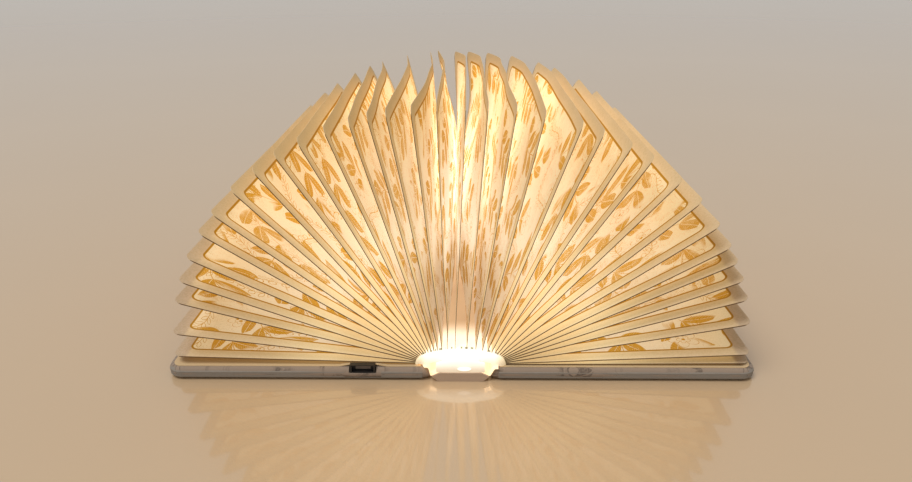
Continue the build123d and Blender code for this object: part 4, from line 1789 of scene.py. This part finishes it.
@dataclass
class PaddedCover:
    """One padded, cloth-wrapped board with its endpaper."""

    shelf: FinishShelf
    side: Side
    inner_top: float = 18.5 * MM
    nose: float = 16.42 * MM  # the X of the edge that faces the hinge
    nose_height: float = 3.0 * MM
    inner_bottom: float = 17.8 * MM
    outer: float = 164 * MM
    half_height: float = 107.5 * MM
    thickness: float = 7.3 * MM
    corner_radius: float = 9 * MM
    puff: float = 2.6 * MM  # how far the padding rounds over
    endpaper_inset: float = 3.5 * MM
    endpaper_thickness: float = 0.4 * MM
    endpaper_radius: float = 5 * MM
    grid: float = 2.4 * MM
    pressure: float = 4.0
    frames: int = 20
    swell: float = 0.5 * MM  # how far the wadding may press the cloth out
    glued: float = 6.5 * MM  # the cloth is held down from this far inside its edge
    rim: float = 10 * MM  # from the outer edge inwards, with the rounded corners
    unevenness: float = 0.12 * MM
    sunken: float = 0.5 * MM  # how far the cloth sinks under the endpaper
    notch_low: tuple[float, float, float] = (-61.6 * MM, -110 * MM, 4.4 * MM)
    notch_high: tuple[float, float, float] = (-46.4 * MM, -103.3 * MM, 12 * MM)  # round the charging socket
    lifted: float = 1.25 * MM  # how far the endpaper is lifted over the socket

    def build(self) -> None:
        """Builds the pad and the endpaper."""
        self.pad()
        self.endpaper()
        log.info("%s cover: pad and endpaper", self.side.word)

    def pad(self) -> None:
        """Models the padded board as a crowned closed form, mirrored for the left side."""
        pad = Bench.block(
            f"{self.side.word}_cover_pad",
            (self.inner_bottom, -self.half_height, 0),
            (self.outer, self.half_height, self.thickness),
        )
        Bench.open(pad)
        Bench.pick(Part.EDGE, lambda middle, run: middle.x > self.outer - MM and abs(run.z) > 0.9)
        bpy.ops.mesh.bevel(offset=self.corner_radius, offset_type="OFFSET", segments=9, affect="EDGES")
        Bench.pick(
            Part.EDGE,
            lambda middle, run: abs(run.z) < 0.1
            and (middle.x > self.outer - self.rim or abs(middle.y) > self.half_height - MM)
            and middle.x > self.inner_bottom + MM,
        )
        bpy.ops.mesh.bevel(offset=self.puff, offset_type="OFFSET", segments=5, affect="EDGES")
        Bench.slice(2, [self.nose_height])
        Bench.shut()
        Bench.move_points(pad, self.shaped_nose)
        Bench.modify(pad, "REMESH", mode="VOXEL", voxel_size=self.grid)
        Bench.modify(pad, "SMOOTH", factor=0.5, iterations=2)
        self.inflate(pad)
        Bench.move_points(pad, self.crowned)
        Bench.modify(pad, "SUBSURF", levels=1, render_levels=1)
        Bench.move_points(pad, self.seated)
        if self.side is Side.LEFT:
            self.mirror(pad)
            Bench.cut(pad, self.notch_low, self.notch_high)
        Bench.dress(pad, self.shelf.cover_cloth)
        Bench.smooth(pad, 60)
        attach(pad, f"{self.side.word}_cover")
        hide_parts(f"{self.side.word}_wrap")

    def inflate(self, pad: bpy.types.Object) -> None:
        """Lets the wadding press out the cloth round the board's edge, by a simulation with no gravity.

        Args:
            pad: the pad, with small even faces.
        """
        start = [vertex.co.copy() for vertex in pad.data.vertices]
        held = pad.vertex_groups.new(name="glued")
        for vertex in pad.data.vertices:
            inner = min(self.half_height - abs(vertex.co.y), self.outer - vertex.co.x)
            near_hinge = vertex.co.x < self.inner_top + 3 * MM
            if near_hinge or inner > self.glued or vertex.co.z < 0.3 * MM:
                held.add([vertex.index], 1.0, "REPLACE")
        Bench.hold(pad)
        cloth = pad.modifiers.new("Cloth", "CLOTH")
        cloth.settings.vertex_group_mass = held.name
        cloth.settings.use_pressure = True
        cloth.settings.uniform_pressure_force = self.pressure
        cloth.settings.effector_weights.gravity = 0
        cloth.point_cache.frame_start = 1
        cloth.point_cache.frame_end = self.frames
        scene = bpy.context.scene
        for number in range(1, self.frames + 1):
            scene.frame_set(number)
        bpy.ops.object.modifier_apply(modifier=cloth.name)
        scene.frame_set(1)
        most = 0.0
        for vertex, old in zip(pad.data.vertices, start):
            moved = vertex.co - old
            most = max(most, moved.length)
            if moved.length > self.swell:
                vertex.co = old + moved.normalized() * self.swell
        pad.vertex_groups.clear()
        pad.data.update()
        log.info("%s: pressed out by up to %.2f mm before the cap", pad.name, most / MM)

    def shaped_nose(self, point: Vector) -> Vector:
        """Draws the inner edge out to a nose at the hinge line.

        Args:
            point: a vertex of the block.

        Returns:
            Its new place.
        """
        if point.x > self.inner_bottom + MM:
            return point
        rise = point.z / self.nose_height
        if rise <= 1:
            x = self.inner_bottom + (self.nose - self.inner_bottom) * rise
        else:
            share = (point.z - self.nose_height) / (self.thickness - self.nose_height)
            x = self.nose + (self.inner_top - self.nose) * share
        return Vector((x, point.y, point.z))

    def crowned(self, point: Vector) -> Vector:
        """Gives the padding its softness: uneven edges and a slightly sunken band under the endpaper.

        Args:
            point: a vertex of the pad.

        Returns:
            Its new place.
        """
        ripple = math.sin(point.x * 95 + 1.3) * math.sin(point.x * 41 + point.y * 13) + math.sin(point.y * 77)
        rim = eased(abs(point.y), self.half_height - 6 * MM, self.half_height - MM)
        rim = max(rim, eased(point.x, self.outer - 6 * MM, self.outer - MM))
        out = Vector((0, math.copysign(1, point.y), 0)) * self.unevenness * ripple * rim
        lift = Vector((0, 0, 0.1 * MM * ripple * rim * eased(point.z, 4 * MM, 7 * MM)))
        moved = point + out + lift
        inner = min(self.half_height - abs(point.y), self.outer - point.x)
        if point.z > self.thickness - 1.2 * MM and inner > self.endpaper_inset - MM:
            moved.z -= self.sunken * eased(inner, 2.2 * MM, 5 * MM)
        return moved

    def seated(self, point: Vector) -> Vector:
        """Keeps a vertex of the pad off the table and under the pad's thickness."""
        return Vector((point.x, point.y, min(self.thickness + 0.15 * MM, max(0.05 * MM, point.z))))

    def mirror(self, piece: bpy.types.Object) -> None:
        """Turns a piece made for the right side into the left side's.

        Args:
            piece: the piece to mirror.
        """
        Bench.move_points(piece, lambda p: Vector((-p.x, p.y, p.z)))
        Bench.open(piece)
        bpy.ops.mesh.select_all(action="SELECT")
        bpy.ops.mesh.flip_normals()
        Bench.shut()

    def endpaper(self) -> None:
        """Models the sheet glued inside the cover."""
        node = f"{self.side.word}_endpaper"
        low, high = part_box(node)
        inner, outer = sorted((abs(low.x), abs(high.x)))
        half = self.half_height - self.endpaper_inset
        sheet = Bench.plane(f"{node}_sheet", (inner, outer), (-half, half), self.thickness)
        Bench.open(sheet)
        Bench.pick(Part.VERT, lambda middle, _: middle.x > outer - MM)
        bpy.ops.mesh.bevel(offset=self.endpaper_radius, offset_type="OFFSET", segments=6, affect="VERTICES")
        Bench.slice(0, Bench.between(inner, outer, 46))
        Bench.slice(1, [-half + 1.2 * MM * k for k in range(1, 9)])
        Bench.slice(1, Bench.between(-half, half, 16))
        Bench.shut()
        thin = self.endpaper_thickness / 2

        def place(point: Vector) -> Vector:
            """Lays a vertex of the flat sheet on the board, with slight waves."""
            wave = 0.06 * MM * math.sin(point.x * 60) * math.sin(point.y * 45 + 1)
            return Vector((point.x, point.y, self.thickness - thin + wave))

        Bench.move_points(sheet, place)
        if self.side is Side.LEFT:
            self.mirror(sheet)
            Bench.move_points(sheet, self.raised_over_socket)
        Bench.modify(sheet, "SOLIDIFY", thickness=self.endpaper_thickness, offset=0)
        Bench.dress(sheet, self.shelf.endpaper)
        Bench.smooth(sheet)
        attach(sheet, f"{self.side.word}_cover")
        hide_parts(node)

    def raised_over_socket(self, point: Vector) -> Vector:
        """Lifts the left endpaper over the charging socket.

        Args:
            point: a vertex of the sheet.

        Returns:
            Its new place.
        """
        low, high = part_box("charge_socket")
        across = eased(point.x, low.x - 7 * MM, low.x) * eased(point.x, high.x + 7 * MM, high.x)
        deep = eased(point.y, high.y + 12 * MM, high.y)
        return point + Vector((0, 0, self.lifted * across * deep))


@dataclass
class Spine:
    """The narrow middle segment, six-sided and wrapped in cloth."""

    shelf: FinishShelf
    half_width: float = 16 * MM
    waist: float = 3.0 * MM  # the height at which it is widest
    top_half: float = 11.6 * MM
    bottom_half: float = 12.5 * MM
    thickness: float = 5.2 * MM
    half_height: float = 107.5 * MM
    edge_radius: float = 0.7 * MM
    slot_low: tuple[float, float, float] = (-9.1 * MM, -98.4 * MM, 1.65 * MM)
    slot_high: tuple[float, float, float] = (9.1 * MM, 98.4 * MM, 8 * MM)  # round the light tray

    def build(self) -> None:
        """Models the wrapped segment, with the slot that the light tray sits in."""
        wrap = Bench.block(
            "spine_wrapping",
            (-self.top_half, -self.half_height, 0),
            (self.top_half, self.half_height, self.thickness),
        )
        Bench.open(wrap)
        Bench.pick(Part.VERT, lambda middle, _: middle.z < MM)
        bpy.ops.transform.resize(value=(self.bottom_half / self.top_half, 1, 1), center_override=(0, 0, 0))
        Bench.slice(2, [self.waist])
        Bench.pick(Part.VERT, lambda middle, _: abs(middle.z - self.waist) < 0.1 * MM)
        wide = self.top_half + (self.bottom_half - self.top_half) * (1 - self.waist / self.thickness)
        bpy.ops.transform.resize(value=(self.half_width / wide, 1, 1), center_override=(0, 0, self.waist))
        Bench.pick(Part.EDGE, lambda middle, run: abs(run.y) > 0.9)
        bpy.ops.mesh.bevel(offset=self.edge_radius, offset_type="OFFSET", segments=3, affect="EDGES")
        Bench.slice(1, Bench.between(-self.half_height, self.half_height, 20))
        Bench.shut()
        Bench.cut(wrap, self.slot_low, self.slot_high)
        Bench.dress(wrap, self.shelf.spine_cloth)
        Bench.smooth(wrap, 35)
        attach(wrap, "spine")
        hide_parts("spine_wrap")
        log.info("spine: wrapped segment")


@dataclass
class HingeFilm:
    """The film, with a painted glow, that lines the groove between the spine and one cover."""

    shelf: FinishShelf
    side: Side
    hinge: float = 16 * MM
    height: float = 3.0 * MM
    half_height: float = 106.9 * MM
    thickness: float = 0.14 * MM
    section: tuple[tuple[float, float], ...] = (
        (11.5, 5.45), (12.3, 5.08), (13.5, 4.48), (14.7, 3.88), (15.5, 3.45), (16.0, 3.2), (16.5, 3.3),
        (16.9, 3.9), (17.4, 4.9), (17.9, 5.9), (18.4, 6.9), (18.9, 7.5), (19.8, 7.66), (20.9, 7.66),
    )  # fmt: skip  # mm across and up, from the spine over the groove to the endpaper
    front_cuts: tuple[float, ...] = (0.5, 1.0, 1.6, 2.3, 3.1, 4.0)  # mm from the front edge

    def build(self) -> None:
        """Models the film and lays it into the groove."""
        last = len(self.section) - 1
        run = (-self.half_height, self.half_height)
        film = Bench.plane(f"{self.side.word}_hinge_film", (0, last), run, 0)
        Bench.open(film)
        Bench.slice(0, Bench.between(0, last, last))
        Bench.slice(1, Bench.between(-self.half_height, self.half_height, 24))
        Bench.slice(1, [-self.half_height + MM * k for k in self.front_cuts])
        Bench.shut()
        Bench.move_points(film, self.settled)
        Bench.face_outwards(film)
        Bench.modify(film, "SOLIDIFY", thickness=self.thickness, offset=0)
        Bench.dress(film, self.shelf.groove_film)
        Bench.smooth(film, 50)
        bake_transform(film)
        log.info("%s hinge film", self.side.word)

    def settled(self, point: Vector) -> Vector:
        """Lays a place of the flat film into the groove.

        Args:
            point: a vertex, with X counting along the section.

        Returns:
            Its new place.
        """
        step = min(len(self.section) - 2, max(0, int(point.x)))
        share = point.x - step
        near, far = self.section[step], self.section[step + 1]
        x = (near[0] + (far[0] - near[0]) * share) * MM
        z = (near[1] + (far[1] - near[1]) * share) * MM
        if self.side is Side.LEFT:
            loose = eased(-point.y, self.half_height - 3.6 * MM, self.half_height)
            loose *= eased(x, 16.4 * MM, 18.6 * MM)
            x -= 0.9 * MM * loose
            z += 0.75 * MM * loose
        return Vector((self.side.value * x, point.y, z + 0.04 * MM * math.sin(point.y * 180)))


@dataclass
class FlatLead:
    """The flat lead from the charging board through the left hinge to the LED board."""

    shelf: FinishShelf

    def build(self) -> None:
        """Models the lead as a flat block in the place of the model's lead."""
        low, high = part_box("led_lead")
        lead = Bench.block("flat_lead", low, high)
        Bench.open(lead)
        Bench.slice(0, Bench.between(low.x, high.x, 60))
        Bench.slice(1, Bench.between(low.y, high.y, 4))
        Bench.shut()
        Bench.dress(lead, self.shelf.lead_film)
        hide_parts("led_lead")
        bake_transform(lead)
        log.info("flat lead")


@dataclass
class CarriedOver:
    """The hard parts that keep their solids and get finishes."""

    shelf: FinishShelf

    def dress(self) -> None:
        """Gives every carried-over solid its finish."""
        shelf = self.shelf
        finishes = {
            "spine_board": shelf.greyboard,
            "left_board": shelf.greyboard,
            "right_board": shelf.greyboard,
            "light_tray": shelf.white_plastic,
            "led_board": shelf.circuit,
            "charge_board": shelf.circuit,
            "leds": shelf.phosphor,
            "diffuser": shelf.opal,
            "front_end_cap": shelf.opal,
            "rear_end_cap": shelf.opal,
            "reed_switch": shelf.reed_glass,
            "left_magnets": shelf.nickel,
            "right_magnets": shelf.nickel,
            "sensor_magnet": shelf.nickel,
            "battery": shelf.foil,
            "charge_socket": shelf.black_plastic,
        }
        for name, finish in finishes.items():
            Bench.dress(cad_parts[name], finish)
        log.info("carried-over solids: %d", len(finishes))


# ----------------------------------------------------------------------------------------------------
# Table, light and camera
# ----------------------------------------------------------------------------------------------------


@dataclass
class Studio:
    """The plain pale table, the soft light and the camera."""

    table: Tone = tone("#cdb08c")
    clouded: Tone = tone("#c4a680")
    table_size: float = 24.0
    sky: Tone = (1.0, 0.98, 0.95, 1.0)
    sky_strength: float = 0.5
    sun_strength: float = 1.5
    sun_spread: float = 30.0
    sun_turn: tuple[float, float] = (14.0, -22.0)  # degrees about X and Y
    camera_place: tuple[float, float, float] = (1.8 * MM, -435.3 * MM, 219.4 * MM)
    pitch: float = 22.46
    yaw: float = 0.7
    roll: float = -0.17
    sensor: float = 36.0
    focal: float = 700 / 912 * 36  # 700 pixels in a picture 912 pixels wide

    def build(self) -> None:
        """Sets the stage."""
        self.lay_table()
        self.light()
        self.aim()

    def lay_table(self) -> None:
        """Lays the slightly glossy table top."""
        half = self.table_size / 2
        table = Bench.plane("table_top", (-half, half), (-half, half), -0.1 * MM)
        desk = NodeDesk("table_top")
        cloud = desk.noise(desk.own(), 6.0, 2.0)
        polish = desk.finish(
            Base_Color=desk.blend(desk.product(cloud, 0.25), self.table, self.clouded),
            Roughness=0.3,
            Specular_IOR_Level=0.5,
            Coat_Weight=1.0,
            Coat_Roughness=0.06,
            Coat_IOR=1.8,
        )
        Bench.dress(table, polish)

    def light(self) -> None:
        """Hangs the soft light and sets the world."""
        sun = bpy.data.lights.new("soft_light", "SUN")
        sun.energy = self.sun_strength
        sun.angle = math.radians(self.sun_spread)
        lamp = bpy.data.objects.new("soft_light", sun)
        lamp.rotation_euler = (*(math.radians(turn) for turn in self.sun_turn), 0)
        lamp.visible_glossy = False
        bpy.context.collection.objects.link(lamp)
        world = bpy.data.worlds.new("studio")
        world.use_nodes = True
        background = world.node_tree.nodes["Background"]
        background.inputs["Color"].default_value = self.sky
        background.inputs["Strength"].default_value = self.sky_strength
        bpy.context.scene.world = world

    def aim(self) -> None:
        """Places the camera as the photograph was taken."""
        lens = bpy.data.cameras.new("camera")
        lens.sensor_fit = "HORIZONTAL"
        lens.sensor_width = self.sensor
        lens.lens = self.focal
        lens.clip_start = 0.01
        lens.clip_end = 100
        camera = bpy.data.objects.new("camera", lens)
        camera.location = self.camera_place
        turn = Matrix.Identity(4)
        for degrees, axis in ((self.yaw, "Z"), (90 - self.pitch, "X"), (self.roll, "Z")):
            turn = turn @ Matrix.Rotation(math.radians(degrees), 4, axis)
        camera.rotation_euler = turn.to_euler()
        bpy.context.collection.objects.link(camera)
        bpy.context.scene.camera = camera
        bpy.context.scene.view_settings.view_transform = "Standard"


def main() -> None:
    """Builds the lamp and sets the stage."""
    logging.basicConfig(level=logging.INFO, format="%(message)s")
    studio = Studio()
    studio.build()
    shelf = FinishShelf()
    fan = LeafFan(shelf)
    fan.measure()
    fan.build()
    ArchLiner(shelf).build(fan.places)
    for side in Side:
        PaddedCover(shelf, side).build()
        HingeFilm(shelf, side).build()
    Spine(shelf).build()
    for end in End:
        EndWindow(shelf, end).build()
    FlatLead(shelf).build()
    CarriedOver(shelf).dress()


if __name__ == "__main__":
    main()
